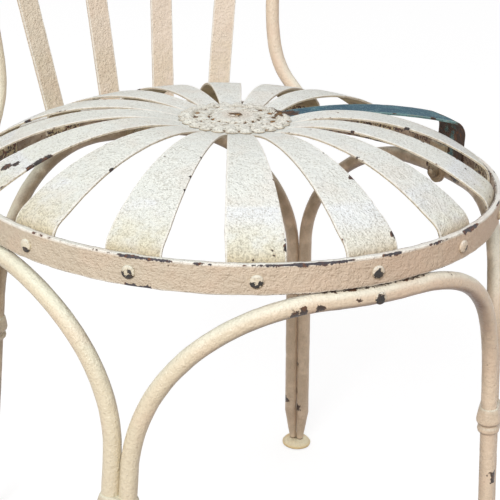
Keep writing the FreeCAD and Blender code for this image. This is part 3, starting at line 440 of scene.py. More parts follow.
def seat_strip(index, material, rise=CROWN_RISE, rim_bend=RIM_BEND, rim_rise=RIM_CENTRE_RISE,
               end_turn=0.0):
    """One strip as a swept bar that widens towards the hoop."""
    rings = []
    along = 100.0 * index
    knocks = STRIP_KNOCKS.get(index, ())
    yellow = 0.88 if index in YELLOWED_STRIPS else 0.5
    last = None
    view = strip_side_view(rise, rim_bend, rim_rise)
    for i, (r, z, nr, nz) in enumerate(view):
        half = strip_half_width(r)
        trim = 0.35 if i in (0, len(view) - 1) else 0.0
        if last:
            along += math.hypot(r - last[0], z - last[1])
        last = (r, z)
        section = bar_outline(half - trim, 0.5 * STRIP_WALL - 0.5 * trim, 0.62, 16, 2,
                              (1.0, 1.0, 0.8, 0.8))
        rim = max(0.0, min(1.0, (r - GRIT_START) / GRIT_REACH))
        ring = []
        for u, v, e in section:
            radius = r + v * nr
            angle = index * STRIP_PITCH + strip_swing(r, end_turn)
            angle += math.degrees(math.asin(u / radius))
            chip_and_shade = 0.0
            for reach, side, size in knocks:
                far = math.hypot(r - reach, u - side * half) / size
                chip_and_shade = max(chip_and_shade, 1.1 - far)
            grime_and_shade = 0.12 + yellow * rim ** 1.5 if v > 0 else 1.2
            # The insides of the bent ends take dark bare patches, partly wear and partly painted
            # shade
            if v < 0 and nz < 0.5:
                chip_and_shade = max(chip_and_shade, 0.56)
            ring.append(station(polar(radius, angle, SEAT_LEVEL + z + v * nz), e, grime_and_shade,
                                (0.12 * along, u, v), chip_and_shade))
        rings.append(ring)
    rings.reverse()
    piece = skin("strip_%02d" % (index + 1), [rings], material, False, 0.13)
    stands_for(piece, "seat_strip_%02d" % (index + 1))


# Weathered oil paint on rolled spring steel: chalky white, dark grit and a faint sheen
strip_paint = old_paint("chalky ivory paint on spring steel", STRIP_TOP_LIT, STRIP_SIDE,
                        STRIP_UNDER_DIRT_AND_SHADE, wear=0.75, grit=1.0, grime_and_shade="dccf9c", cool=0.9,
                        pepper="8f8773", lumps=1.3, green=0.12, blush=0.12)
# An older coat of teal oil paint: thin and streaked, rusty where its edges are bare
teal_paint = old_paint("old teal paint on spring steel", "22536a", "1a3c48", "2e2219",
                       wear=1.1, grit=1.1, bare="3a2a20", grime_and_shade="4f7f80", rust="6b4429",
                       pale="86a9a6", pepper="9dbdbb", lumps=0.9, gloss=-0.1, green=0.0,
                       blush=0.55, flush="4a7f88")
for index in range(STRIP_COUNT):
    if index == LIFTED_STRIP:
        seat_strip(index, teal_paint, LIFTED_RISE, LIFTED_RIM_BEND, LIFTED_CENTRE_RISE,
                   LIFTED_END_TURN)
    else:
        seat_strip(index, strip_paint, CROWN_RISE - STRIP_SAG.get(index, 0.0))


# Rosette
# A pressed disc with a petalled rim over the strips' inner ends, held by one small rivet
# in each strip and one in the middle, all under the same clotted paint.

ROSETTE_SEAT = TAB_RISE + 0.5 * STRIP_WALL + FIT
ROSETTE_WALL = 1.6
ROSETTE_DOME = 1.7
BACKING_WALL = 2.0
ROSETTE_SCALLOPS = 24
ROSETTE_TURNS = 480
SLOT_CIRCLE = 31.5
PIN_HOLE_CIRCLE = 19.5
RIVET_CIRCLE = 25.5
BEAD_CIRCLE = 16.5
HUB_RADIUS = 21.0
RIDGE_CIRCLE = 36.0
PETAL_CIRCLE = 40.5
NOTCH_CIRCLE = 41.5


def rosette_slot(r, angle):
    """1 inside one of the long holes punched between the rivets' rays."""
    turn = ((angle / STRIP_PITCH + 0.5) % 1.0 - 0.5) * STRIP_PITCH
    across = math.radians(turn) * SLOT_CIRCLE
    pin_hole = bell(r - PIN_HOLE_CIRCLE, 1.5) * bell(math.radians(turn) * PIN_HOLE_CIRCLE, 1.7)
    return max(bell(r - SLOT_CIRCLE, 2.5) * bell(across, 3.7), pin_hole)


def rosette_height(r, angle):
    """Height of the rosette's upper face over its lower face."""
    petal = abs(math.cos(math.radians(0.5 * ROSETTE_SCALLOPS * angle)))
    rim = max(0.0, min(1.0, (ROSETTE_RADIUS - r) / 4.5)) ** 0.7
    height = 2.1 + 1.2 * max(0.0, 1.0 - (r / HUB_RADIUS) ** 2)
    height += 1.2 * petal * bell(r - PETAL_CIRCLE, 3.6)
    height -= 1.1 * (1.0 - petal) * bell(r - NOTCH_CIRCLE, 4.5)
    height += 0.9 * bell(r - RIDGE_CIRCLE, 1.4) - 0.9 * bell(r - HUB_RADIUS, 1.5)
    height += 0.8 * bell(r - BEAD_CIRCLE, 2.2) * abs(math.cos(math.radians(6.0 * angle)))
    return max(0.4, height * (0.15 + 0.85 * rim) - 2.2 * rosette_slot(r, angle))


def repaint(material, *names):
    """CAD nodes that keep their own shape and take this paint."""
    for name in names:
        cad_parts[name].data.materials.clear()
        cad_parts[name].data.materials.append(material)


# Paint clotted in the relief of a pressed disc: white crests, tan creases, rust in the holes
rosette_paint = old_paint("clotted ivory paint on pressed steel", "f4f4ec", "d2c4ae", "76624b",
                          wear=0.9, grit=1.2, lumps=1.3, grime_and_shade="ad9871", brushed=False,
                          bare="5c4630", rust="a67c42")
radii = [0.5 + 0.75 * i for i in range(61)]
shell = []
for r in radii:
    ring = []
    for i in range(ROSETTE_TURNS):
        angle = 360.0 * i / ROSETTE_TURNS
        petal = abs(math.cos(math.radians(0.5 * ROSETTE_SCALLOPS * angle)))
        pull = 1.0 - 0.075 * (1.0 - petal) ** 1.5 * max(0.0, (r - RIDGE_CIRCLE) / 10.0)
        groove = max(bell(r - HUB_RADIUS, 1.8), (1.0 - petal) * bell(r - 42.0, 5.0))
        groove = max(groove, bell(r - 33.5, 1.2), 0.8 * bell(r - 45.5, 1.5))
        grime_and_shade = min(1.0, 0.25 + 0.75 * groove + 1.2 * rosette_slot(r, angle))
        chip_and_shade = 1.05 * rosette_slot(r, angle) + 0.5 * bell(r - HUB_RADIUS, 1.4)
        chip_and_shade = max(chip_and_shade, 0.75 * bell(r - 44.0, 2.5) * (1.0 - petal), 0.5 if r > 45.6 else 0.0)
        top = SEAT_LEVEL + ROSETTE_SEAT + rosette_height(r, angle)
        ring.append(station(polar(r * pull, angle, top), 0.75 if r > 44.8 else 0.0, grime_and_shade,
                            (0, 0, 0), chip_and_shade))
    shell.append(ring)
low = SEAT_LEVEL + ROSETTE_SEAT
rim = [s[0] for s in shell[-1]]
shell.append([station(Vector((p.x, p.y, low)), 0.2, 0.8) for p in rim])
shell.append([station(Vector((0.1 * p.x, 0.1 * p.y, low)), 0.0, 0.8) for p in rim])
# The coat has torn off where the lifted strip pulled at the disc
torn = [(polar(42.0, 88.0, low + 1.5), 15.0), (polar(36.0, 76.0, low + 2.0), 10.0),
        (polar(44.0, 104.0, low + 1.5), 11.0), (polar(3.0, 120.0, low + 4.0), 8.0)]
stands_for(skin("rosette_disc", [shell], rosette_paint, False, 0.25, torn), "rosette")
repaint(rosette_paint, "rosette_backing")


# Rivets and bolts
# Round-headed rivets through the hoop and the rosette, and round-headed bolts through the
# arches, all clotted with paint and worn to dark metal where hands and knees pass.

RIVET_LEVEL = SEAT_LEVEL - 11.4
SPLAT_WALL = 3.2
SPLAT_FACE = HOOP_RADIUS + FIT
TUBE = 6.5
TAIL_INNER = TAIL_MIDDLE - 0.5 * STRIP_WALL
LUG_WALL = 3.0
LUG_HALF = 11.0
LUG_FACE = math.sqrt((TAIL_INNER - FIT) ** 2 - LUG_HALF ** 2)
ARCH_RADIUS = math.hypot(LUG_FACE + FIT, LUG_HALF) + TUBE
ARCH_LEVEL = SEAT_LEVEL - HOOP_DEPTH - FIT - TUBE
BACK_FOOT_STRIP = 6
SPLAT_FOOT_ANGLES = (-22.5, -6.2, 8.2, 22.5)
# Shank radius, head radius and height, tail radius and height of each kind
SEAT_RIVET = (2.0, 4.8, 2.7, 3.0, 1.1)
SPLAT_RIVET = (2.0, 3.9, 2.5, 3.0, 1.1)
ROSETTE_RIVET = (1.5, 2.6, 0.9, 2.6, 0.8)
MIDDLE_RIVET = (3.0, 5.9, 1.25, 5.9, 1.1)
ARCH_BOLT = (2.8, 4.5, 1.9, 2.2, 0.4)
NUT_HALF = 5.5
NUT_CORNER = 6.05
NUT_HEIGHT = 4.9
# Height and size of the clotted nut's rings
NUT_PROFILE = ((0.0, 0.96), (0.6, 1.0), (2.2, 1.0), (3.8, 0.99), (4.5, 0.95), (4.9, 0.86),
               (5.0, 0.7), (5.0, 0.4))
# Bareness of a seat rivet's crown, and its chips: place to the right and up, and size
RIVET_WEAR = {0: 1.0, 2: 0.5, 12: 0.6}
RIVET_CHIPS = {0: ((-0.6, 2.0, 4.0),), 1: ((1.6, -1.4, 5.0),), 2: ((3.2, -0.4, 6.0),),
               13: ((1.4, -3.2, 6.4),), 14: ((-3.2, -2.0, 5.2), (1.8, -3.2, 5.4), (1.8, 1.2, 3.6)),
               15: ((-2.8, -1.6, 4.8), (2.8, -0.8, 5.2), (0.2, -2.9, 4.4))}


def headed_pin(start, direction, grip, sizes, bare=0.2):
    """Rings of a round-headed rivet or bolt, its head worn bare in its middle."""
    shank, head, height, tail, tail_height = sizes
    side = direction.orthogonal().normalized()
    other = direction.cross(side)
    profile = []
    for i in range(9):
        a = math.radians(90.0 * i / 8)
        profile.append((max(0.05, head * math.sin(a)), height * (0.28 + 0.72 * math.cos(a)),
                        bare * (1.15 - 0.75 * math.sin(a))))
    profile += [(head, 0.12 * height, 0.0), (head * 0.99, 0.0, 0.0), (shank, 0.0, 0.0),
                (shank, -grip, 0.0), (tail, -grip, 0.0), (tail, -grip - 0.5 * tail_height, 0.1),
                (0.7 * tail, -grip - tail_height, 0.2), (0.05, -grip - tail_height, 0.2)]
    rings = []
    for radius, h, worn in profile:
        ring = []
        for k in range(20):
            a = 2.0 * math.pi * k / 20
            offset = side * math.cos(a) + other * math.sin(a)
            edge = 0.5 if 0.5 * head < radius < head and h > 0 else 0.0
            grime_and_shade = 0.85 if h < 0.35 * height else 0.2
            lopsided = worn * (1.0 + 0.35 * math.cos(a + start.x))
            ring.append(station(start + direction * h + offset * radius, edge, grime_and_shade,
                                (0, 0, 0), lopsided))
        rings.append(ring)
    return rings


# Paint dabbed over hammered heads: a cream cap that breaks to near-black steel
rivet_paint = old_paint("ivory paint on rivet heads", "efece2", "e3d6c3", "8a7462", wear=1.0,
                        grit=0.8, brushed=False, lumps=0.9, bare="33302f", rust="4d3f35")
strip_pins = []
foot_pins = []
pin_chips = []
for index in range(STRIP_COUNT):
    angle = index * STRIP_PITCH
    out = polar(1.0, angle, 0.0)
    seat = HOOP_RADIUS
    inner = LUG_FACE - LUG_WALL if index % 4 == 0 else TAIL_INNER
    if 180.0 - angle in SPLAT_FOOT_ANGLES:
        seat = SPLAT_FACE + SPLAT_WALL
    if index in (BACK_FOOT_STRIP, STRIP_COUNT - BACK_FOOT_STRIP):
        seat = HOOP_RADIUS + FIT + 2.0 * TUBE
    pin = headed_pin(out * seat + Vector((0, 0, RIVET_LEVEL)), out, seat - inner, SEAT_RIVET,
                     RIVET_WEAR.get(index, 0.1))
    for right, rise, size in RIVET_CHIPS.get(index, ()):
        beside = Vector((-out.y, out.x, 0.0)) * right
        pin_chips.append((out * (seat + 2.0) + beside + Vector((0, 0, RIVET_LEVEL + rise)), size))
    (foot_pins if seat > HOOP_RADIUS + TUBE else strip_pins).append(pin)
stands_for(skin("strip_rivets", strip_pins, rivet_paint, False, 0.15, pin_chips), "seat_rivets")
stands_for(skin("back_foot_rivets", foot_pins, rivet_paint, False, 0.15), "back_hoop_rivets")

small_pins = []
pin_seat = SEAT_LEVEL + ROSETTE_SEAT + ROSETTE_WALL + 0.35
pin_grip = pin_seat - (SEAT_LEVEL + TAB_RISE - 0.5 * STRIP_WALL - FIT - BACKING_WALL)
up = Vector((0, 0, 1))
for index in range(STRIP_COUNT):
    small_pins.append(headed_pin(polar(RIVET_CIRCLE, index * STRIP_PITCH, pin_seat), up,
                                 pin_grip, ROSETTE_RIVET, 0.3))
stands_for(skin("rosette_pins", small_pins, rosette_paint, False, 0.1), "rosette_rivets")
middle_seat = SEAT_LEVEL + ROSETTE_SEAT + ROSETTE_WALL + ROSETTE_DOME
middle_pin = headed_pin(Vector((0, 0, middle_seat)), up, middle_seat - pin_seat + pin_grip,
                        MIDDLE_RIVET, 0.45)
rust_spot = [(Vector((1.5, -2.0, pin_seat + 3.0)), 9.0),
             (Vector((-2.5, 0.5, pin_seat + 3.0)), 7.0)]
stands_for(skin("rosette_middle_pin", [middle_pin], rosette_paint, False, 0.1, rust_spot),
           "centre_rivet")

bolts = []
for number in range(4):
    out = polar(1.0, 90.0 * number, 0.0)
    seat = ARCH_RADIUS + TUBE
    bolts.append(headed_pin(out * (seat - 0.2) + Vector((0, 0, ARCH_LEVEL)), out,
                            seat - LUG_FACE + LUG_WALL + NUT_HEIGHT, ARCH_BOLT,
                            1.1 if number == 0 else 0.5))
stands_for(skin("arch_bolt_pins", bolts, rivet_paint, False, 0.12), "arch_bolts")
# Thick, uncleaned paint on forged lugs and nuts: dull khaki with brown rust in the corners
lug_paint = old_paint("ivory paint on rusty lug steel", "d3cbb2", "b3a283", "5d4a3c", wear=1.2,
                      grit=1.4, brushed=False, bare="35281f", rust="6e4629", grime_and_shade="7c6c4c",
                      lumps=1.4)
repaint(lug_paint, "front_arch_lug", "right_arch_lug", "rear_arch_lug", "left_arch_lug")
nuts = []
for number in range(4):
    inward = -polar(1.0, 90.0 * number, 0.0)
    aside = Vector((-inward.y, inward.x, 0.0))
    start = -inward * (LUG_FACE - LUG_WALL - FIT) + Vector((0, 0, ARCH_LEVEL))
    rings = []
    for h, share in NUT_PROFILE:
        ring = []
        for k in range(36):
            a = 2.0 * math.pi * k / 36
            flat = (a + math.pi / 6.0) % (math.pi / 3.0) - math.pi / 6.0
            r = min(NUT_CORNER, NUT_HALF / math.cos(flat)) * share
            rim = aside * (r * math.cos(a)) + up * (r * math.sin(a))
            ring.append(station(start + inward * h + rim, 0.3, 1.2, (0, 0, 0), 0.48))
        rings.append(ring)
    nuts.append(rings)
stands_for(skin("clotted_nuts", nuts, lug_paint, False, 0.45), "arch_nuts")


# Leg arches
# Four lengths of 13 mm pipe, each bent to an arch; neighbours meet and run down side by
# side as a leg. The paint is thicker, creamier and rounder than on the flat bars.

ARCH_BENDS = (128.0, 117.0)
PAIR_HALF = TUBE + FIT
PAIR_STEP = math.degrees(math.asin(PAIR_HALF / ARCH_RADIUS))
LEG_REACH = ARCH_RADIUS * math.cos(math.radians(PAIR_STEP)) * math.sqrt(0.5)
SPLAYS = ((0.07, 0.045), (0.045, 0.07))
FOOT_HEIGHT = 7.0
TAPER_LENGTH = 36.0
TAPER_END = 3.6
PIPE_SIDES = 28
# Where the pipe meets the hoop it darkens with grime and a painted contact shadow, and on its
# inward side beneath the seat with painted shade
CREVICE = ARCH_LEVEL + 5.4
SEAT_SHADE_LOW = 190.0
SEAT_SHADE_DEPTH = 110.0
# Knocks on the arches: which arch, angle from its middle, distance from the seat's axis,
# height over its middle line, and size
ARCH_KNOCKS = ((0, -15.6, 218.5, -7.0, 11.0), (0, -14.4, 220.5, -3.8, 8.5),
               (0, -11.4, 221.0, -2.5, 8.5), (0, -3.6, 220.5, 0.6, 3.6),
               (0, -4.8, 220.5, 0.9, 3.2), (1, -7.5, 208.5, 3.0, 16.0),
               (1, 4.0, 208.5, 3.0, 9.0), (1, 31.0, 210.0, 5.0, 11.0),
               (1, -22.0, 213.0, -6.0, 8.0), (3, 30.0, 214.0, -6.0, 10.0),
               (0, 43.6, 237.1, -208.0, 9.0), (0, 43.5, 236.6, -213.0, 7.0),
               (1, 44.0, 236.0, -298.0, 9.0), (1, 43.2, 235.0, -318.0, 10.0),
               (2, -43.8, 235.5, -309.0, 9.0), (1, 43.4, 233.0, -264.0, 7.0))


def pipe_rings(path, radii, soils, crevice=None):
    """Rings of stations round a path; above the crevice they take grime and a painted contact
    shadow, and their inward side beneath the seat takes painted shade.
    """
    rings = []
    side = None
    along = 0.0
    for i, p in enumerate(path):
        ahead = path[min(i + 1, len(path) - 1)]
        behind = path[max(i - 1, 0)]
        along += (p - path[max(i - 1, 0)]).length
        way = (ahead - behind).normalized()
        if side is None:
            side = way.orthogonal()
        side = (side - way * side.dot(way)).normalized()
        other = way.cross(side)
        ring = []
        for k in range(PIPE_SIDES):
            a = 2.0 * math.pi * k / PIPE_SIDES
            x = radii[i] * math.cos(a)
            y = radii[i] * math.sin(a)
            place = p + side * x + other * y
            pipe_grime_and_shade = soils[i]
            contact_shadow_and_grime = 0.0
            if crevice:
                above = place.z - crevice
                inward = (math.hypot(p.x, p.y) - math.hypot(place.x, place.y)) / TUBE + 0.25
                # Inward faces beneath the seat darken: painted shade
                beneath_seat_shade = min(1.0, max(0.55, (place.z - SEAT_SHADE_LOW) / SEAT_SHADE_DEPTH))
                pipe_grime_and_shade = max(pipe_grime_and_shade, min(1.5, 1.2 * above), 1.6 * beneath_seat_shade * inward)
                # The pipe's top, where it meets the hoop, darkens with grime and a painted contact
                # shadow
                contact_shadow_and_grime = 0.64 * min(1.0, max(0.0, above))
            ring.append(station(place, 0.0, pipe_grime_and_shade, (0.14 * along, x, y), contact_shadow_and_grime))
        rings.append(ring)
    return rings


def arch_side(which):
    """Right half of an arch's middle line and its radii, from hoop to floor."""
    tangent, radial = SPLAYS[which]
    bend = ARCH_BENDS[which]
    start = math.radians(45.0 - PAIR_STEP) - bend / ARCH_RADIUS
    path = [polar(ARCH_RADIUS, math.degrees(start) * i / 12, ARCH_LEVEL) for i in range(12)]
    for i in range(61):
        u = 0.5 * math.pi * i / 60
        theta = start + bend * math.sin(u) / ARCH_RADIUS
        drop = bend * (1.0 - math.cos(u))
        path.append(Vector((ARCH_RADIUS * math.sin(theta) + tangent * drop,
                            -ARCH_RADIUS * math.cos(theta) - radial * drop,
                            ARCH_LEVEL - drop)))
    down = Vector((tangent, -radial, -1.0))
    length = ARCH_LEVEL - bend - FOOT_HEIGHT - TAPER_LENGTH
    corner = path[-1].copy()
    path += [corner + down * (length * i / 50) for i in range(1, 51)]
    radii = [TUBE] * len(path)
    end = path[-1].copy()

    def between(z):
        drop = ARCH_LEVEL - z
        return Vector((LEG_REACH + tangent * drop, -LEG_REACH - radial * drop, z))

    tip = between(FOOT_HEIGHT) + (end - between(end.z)).normalized() * (TAPER_END + FIT)
    for i in range(1, 15):
        share = i / 14
        path.append(end.lerp(tip, share))
        radii.append(TUBE + (TAPER_END - TUBE) * share)
    return path, radii


# Oil paint flowed thick round a drawn pipe: smoother and glossier, with painted shade on its
# inward side beneath the seat
tube_paint = old_paint("thick cream paint on steel pipe", "f6f2e1", "ebd8c1", "7d6051",
                       wear=0.9, grit=0.4, grime_and_shade="8f7c60", gloss=0.22, lumps=0.75, green=0.36,
                       bare="3b2c24", rust="5e3f29")
for number, place in enumerate(("front", "right", "rear", "left")):
    side_path, side_radii = arch_side(number % 2)
    path = [Vector((-p.x, p.y, p.z)) for p in reversed(side_path)][:-1] + side_path
    radii = list(reversed(side_radii))[:-1] + side_radii
    spin = Matrix.Rotation(math.radians(90.0 * number), 3, "Z")
    path = [spin @ p for p in path]
    soils = [0.15 + 0.8 * max(0.0, 1.0 - p.z / 110.0) for p in path]
    chips = [(polar(r, 90.0 * number + a, ARCH_LEVEL + h), size)
             for which, a, r, h, size in ARCH_KNOCKS if which == number]
    rings = pipe_rings(path, radii, soils, CREVICE)
    stands_for(skin("arch_pipe_" + place, [rings], tube_paint, False, 0.16, chips),
               place + "_arch")


# Collars and feet
# A cast collar with two rounded rings binds each pair of leg tubes; each leg stands on a
# small domed disc whose paint has worn yellow, with a faint painted highlight round the rim.

COLLAR_DROP = 189.0
# Height along the leg and radius of the collar's cup, waist and two bands
COLLAR_PROFILE = ((-8.6, 6.7), (-8.4, 7.8), (-7.6, 8.7), (-5.6, 9.2), (-3.8, 8.8), (-2.8, 8.0),
                  (-2.0, 7.6), (-1.2, 7.7), (-0.4, 8.5), (0.6, 9.5), (2.2, 9.9), (4.2, 9.8),
                  (7.0, 9.2), (10.0, 8.4), (12.6, 7.6), (13.9, 6.7))
FOOT_RADIUS = 15.7
FOOT_RIM = 2.4
FOOT_SEAT = 7.8


def leg_place(side_x, side_y, z):
    """Middle between a leg's two tubes at a height."""
    drop = ARCH_LEVEL - z
    return Vector((side_x * (LEG_REACH + SPLAYS[0][0] * drop),
                   side_y * (LEG_REACH + SPLAYS[0][1] * drop), z))


# Ivory paint gone yellow near the ground on turned discs, with an amber bloom round the top
foot_paint = old_paint("yellowed ivory paint on foot discs", "fff8da", "ffe9b4", "a5865a",
                       wear=0.8, grit=0.3, grime_and_shade="e8b45c", brushed=False, lumps=0.8)
for fore, side_y in (("front", -1.0), ("rear", 1.0)):
    for hand, side_x in (("left", -1.0), ("right", 1.0)):
        leg = fore + "_" + hand
        centre = leg_place(side_x, side_y, SEAT_LEVEL - COLLAR_DROP)
        axis = (leg_place(side_x, side_y, 300.0) - leg_place(side_x, side_y, 100.0)).normalized()
        across = Vector((side_x, -side_y, 0.0)).normalized()
        across = (across - axis * across.dot(axis)).normalized()
        depth = axis.cross(across)
        rings = []
        for h, radius in COLLAR_PROFILE:
            ring = []
            for k in range(48):
                a = 2.0 * math.pi * k / 48
                x = radius * math.cos(a) + math.copysign(PAIR_HALF, math.cos(a))
                y = radius * math.sin(a)
                crest = max(bell(h - 3.0, 4.0), bell(h + 5.6, 2.0))
                ring.append(station(centre + axis * h + across * x + depth * y,
                                    0.25 * crest, 0.8 - 0.5 * crest, (0, 0, 0)))
            rings.append(ring)
        knock = [(centre + across * 9.0 * side_x + depth * -8.0 - axis * 2.0, 4.0)]
        stands_for(skin("collar_ring_" + leg, [rings], tube_paint, False, 0.15, knock),
                   "collar_" + leg)

        centre = leg_place(side_x, side_y, 0.0)
        profile = [(0.1, 0.05), (14.6, 0.05), (15.4, 0.5), (15.6, 1.4), (FOOT_RADIUS, FOOT_RIM)]
        for i in range(1, 9):
            share = i / 8
            r = FOOT_RADIUS + (FOOT_SEAT - FOOT_RADIUS) * share
            swell = 1.25 * math.sin(math.pi * share)
            profile.append((r + 0.5 * swell, FOOT_RIM + (FOOT_HEIGHT - FOOT_RIM) * share + swell))
        profile.append((0.1, FOOT_HEIGHT))
        rings = []
        for r, z in profile:
            ring = []
            for k in range(40):
                a = 2.0 * math.pi * k / 40
                place = centre + Vector((r * math.cos(a), r * math.sin(a), z))
                ring.append(station(place, 0.4 if abs(r - FOOT_RADIUS) < 0.4 else 0.0,
                                    0.2 + 1.4 * bell(r - 10.5, 3.2) * (0.6 + 0.4 * math.sin(a))))
            rings.append(ring)
        stands_for(skin("foot_disc_" + leg, [rings], foot_paint, False, 0.12), "foot_" + leg)


# Back
# A pipe bent to a loop stands against the hoop's sides, and four flat splats run from the
# hoop's rear to the front of the loop, spreading as they rise.

BACK_TOP = 871.0
BACK_HALF_WIDTH = 204.0
BACK_WIDEST = BACK_TOP - 153.0
BACK_SHOULDER = 120.0
WAIST_HALF_WIDTH = 138.5
WAIST_LEVEL = SEAT_LEVEL + 57.0
BACK_LEAN = 0.2
FLARE_SINK = 6.0
FLARE_PULLS = (42.0, 19.0)
SPLAT_TOPS = (-159.0, -57.5, 52.3, 148.0)
SPLAT_HALF = 10.5
SPLAT_OVERRUN = 9.0
SPLAT_MIDDLE = SPLAT_FACE + 0.5 * SPLAT_WALL
FLARE_RADIUS = HOOP_RADIUS + FIT + TUBE


def back_depth(x, z):
    """How far back the curved, leaning surface of the back lies."""
    height = z - SEAT_LEVEL
    radius = SPLAT_MIDDLE + max(height, 0.0)
    return SPLAT_MIDDLE + BACK_LEAN * height - radius + math.sqrt(radius * radius - x * x)


def on_back(x, z):
    """Point of the back's surface, from its place across and its height."""
    return Vector((x, back_depth(x, z), z))


crown_span = BACK_HALF_WIDTH - BACK_SHOULDER
crown_height = BACK_TOP - BACK_WIDEST
BACK_CROWN = ((crown_span ** 2 + crown_height ** 2 - BACK_SHOULDER ** 2)
              / (2.0 * (crown_height - BACK_SHOULDER)))
crown_turn = math.atan2(crown_span, BACK_CROWN - crown_height)
side_in = BACK_HALF_WIDTH - WAIST_HALF_WIDTH
side_down = BACK_WIDEST - WAIST_LEVEL
side_turn = 2.0 * math.atan2(side_in, side_down)
side_bend = side_down / (2.0 * math.sin(side_turn))

loop = []
for i in range(30):
    a = crown_turn * i / 30
    loop.append(on_back(BACK_CROWN * math.sin(a), BACK_TOP - BACK_CROWN * (1 - math.cos(a))))
for i in range(30):
    a = crown_turn + (0.5 * math.pi - crown_turn) * i / 30
    loop.append(on_back(BACK_HALF_WIDTH - BACK_SHOULDER * (1 - math.sin(a)),
                        BACK_WIDEST + BACK_SHOULDER * math.cos(a)))
for i in range(70):
    a = 2.0 * side_turn * i / 70
    if a < side_turn:
        x = BACK_HALF_WIDTH - side_bend * (1 - math.cos(a))
        z = BACK_WIDEST - side_bend * math.sin(a)
    else:
        b = 2.0 * side_turn - a
        x = WAIST_HALF_WIDTH + side_bend * (1 - math.cos(b))
        z = WAIST_LEVEL + side_bend * math.sin(b)
    loop.append(on_back(x, z))
waist = on_back(WAIST_HALF_WIDTH, WAIST_LEVEL)
falling = (waist - loop[-1]).normalized()
flare_end = polar(FLARE_RADIUS, BACK_FOOT_STRIP * STRIP_PITCH, SEAT_LEVEL - FLARE_SINK)
pulls = (waist, waist + falling * FLARE_PULLS[0], flare_end + up * FLARE_PULLS[1], flare_end)
for i in range(49):
    t = i / 48
    s = 1.0 - t
    loop.append(pulls[0] * s ** 3 + pulls[1] * (3 * s * s * t)
                + pulls[2] * (3 * s * t * t) + pulls[3] * t ** 3)
foot_z = SEAT_LEVEL - HOOP_DEPTH + 0.5
for i in range(1, 6):
    loop.append(Vector((flare_end.x, flare_end.y, flare_end.z + (foot_z - flare_end.z) * i / 5)))
loop = [Vector((-p.x, p.y, p.z)) for p in reversed(loop)][:-1] + loop
loop_shell = pipe_rings(loop, [TUBE] * len(loop), [0.2] * len(loop))
stands_for(skin("back_loop", [loop_shell], tube_paint, False, 0.16), "back_hoop")


def loop_level(x):
    """Height of the loop's middle line above a place across its crown."""
    if abs(x) < BACK_CROWN * math.sin(crown_turn):
        return BACK_TOP - BACK_CROWN + math.sqrt(BACK_CROWN ** 2 - x * x)
    return BACK_WIDEST + math.sqrt(BACK_SHOULDER ** 2 - (abs(x) - crown_span) ** 2)


def back_normal(x, z):
    """Forward-facing normal of the back's surface."""
    across = Vector((1.0, back_depth(x + 0.5, z) - back_depth(x - 0.5, z), 0))
    rising = Vector((0, back_depth(x, z + 0.5) - back_depth(x, z - 0.5), 1.0))
    return across.cross(rising).normalized()


# Brushed oil paint on flat bar: pinker and cleaner than the seat, with lengthways strokes
splat_paint = old_paint("brushed ivory paint on flat steel", "f0ece1", "ecdccb", "a08a78",
                        wear=0.75, grit=0.6, lumps=1.1)
top_pins = []
inner_foot_pins = []
for number in range(4):
    foot_angle = SPLAT_FOOT_ANGLES[number]
    foot_x = SPLAT_MIDDLE * math.sin(math.radians(foot_angle))
    top_x = SPLAT_TOPS[number]
    top_z = loop_level(top_x)
    forward = back_normal(top_x, top_z)
    overrun = 1.0 + SPLAT_OVERRUN / (top_z - SEAT_LEVEL)
    outline = bar_outline(SPLAT_HALF, 0.5 * SPLAT_WALL, 0.7, 8, 2)
    rings = []
    shares = [-1.0, -0.5] + [overrun * i / 60 for i in range(61)]
    for share in shares:
        t = max(0.0, share)
        x = foot_x + (top_x - foot_x) * t
        z = SEAT_LEVEL + (top_z - SEAT_LEVEL) * t
        facing = math.asin(x / (SPLAT_MIDDLE + z - SEAT_LEVEL))
        away = Vector((math.sin(facing), math.cos(facing), 0))
        side = Vector((math.cos(facing), -math.sin(facing), 0))
        centre = on_back(x, z) + forward * ((TUBE + 0.5 * SPLAT_WALL + FIT) * t)
        if share < 0:
            centre.z = SEAT_LEVEL + (HOOP_DEPTH - 0.5) * share
        along = 120.0 * number + centre.z
        rings.append([station(centre + side * u - away * v, 0.8 * e,
                              0.15 if centre.z > 450 else 0.5, (0.14 * along, u, v))
                      for u, v, e in outline])
    stands_for(skin("splat_bar_%d" % (number + 1), [rings], splat_paint, False, 0.14),
               "back_splat_%d" % (number + 1))
    start = on_back(top_x, top_z) + forward * (TUBE + SPLAT_WALL + FIT)
    top_pins.append(headed_pin(start, forward, SPLAT_WALL + FIT + 2.0 * TUBE, SPLAT_RIVET))
    if abs(foot_angle) != STRIP_PITCH:
        angle = 180.0 - foot_angle
        out = polar(1.0, angle, 0.0)
        seat = SPLAT_FACE + SPLAT_WALL
        inner_foot_pins.append(headed_pin(out * seat + Vector((0, 0, RIVET_LEVEL)), out,
                                          seat - HOOP_RADIUS + HOOP_WALL, SPLAT_RIVET))
stands_for(skin("splat_upper_rivets", top_pins, rivet_paint, False, 0.15), "splat_top_rivets")
stands_for(skin("splat_lower_rivets", inner_foot_pins, rivet_paint, False, 0.15),
           "splat_foot_rivets")


# Floor, light and camera
# A plain pale floor that reads white to the camera and keeps the chair's faint shadow, a
# wide soft lamp at the upper left, and a cool sky over warm ground as the light around.

FLOOR_HALF = 12.0
FLOOR_SINK = 0.0005

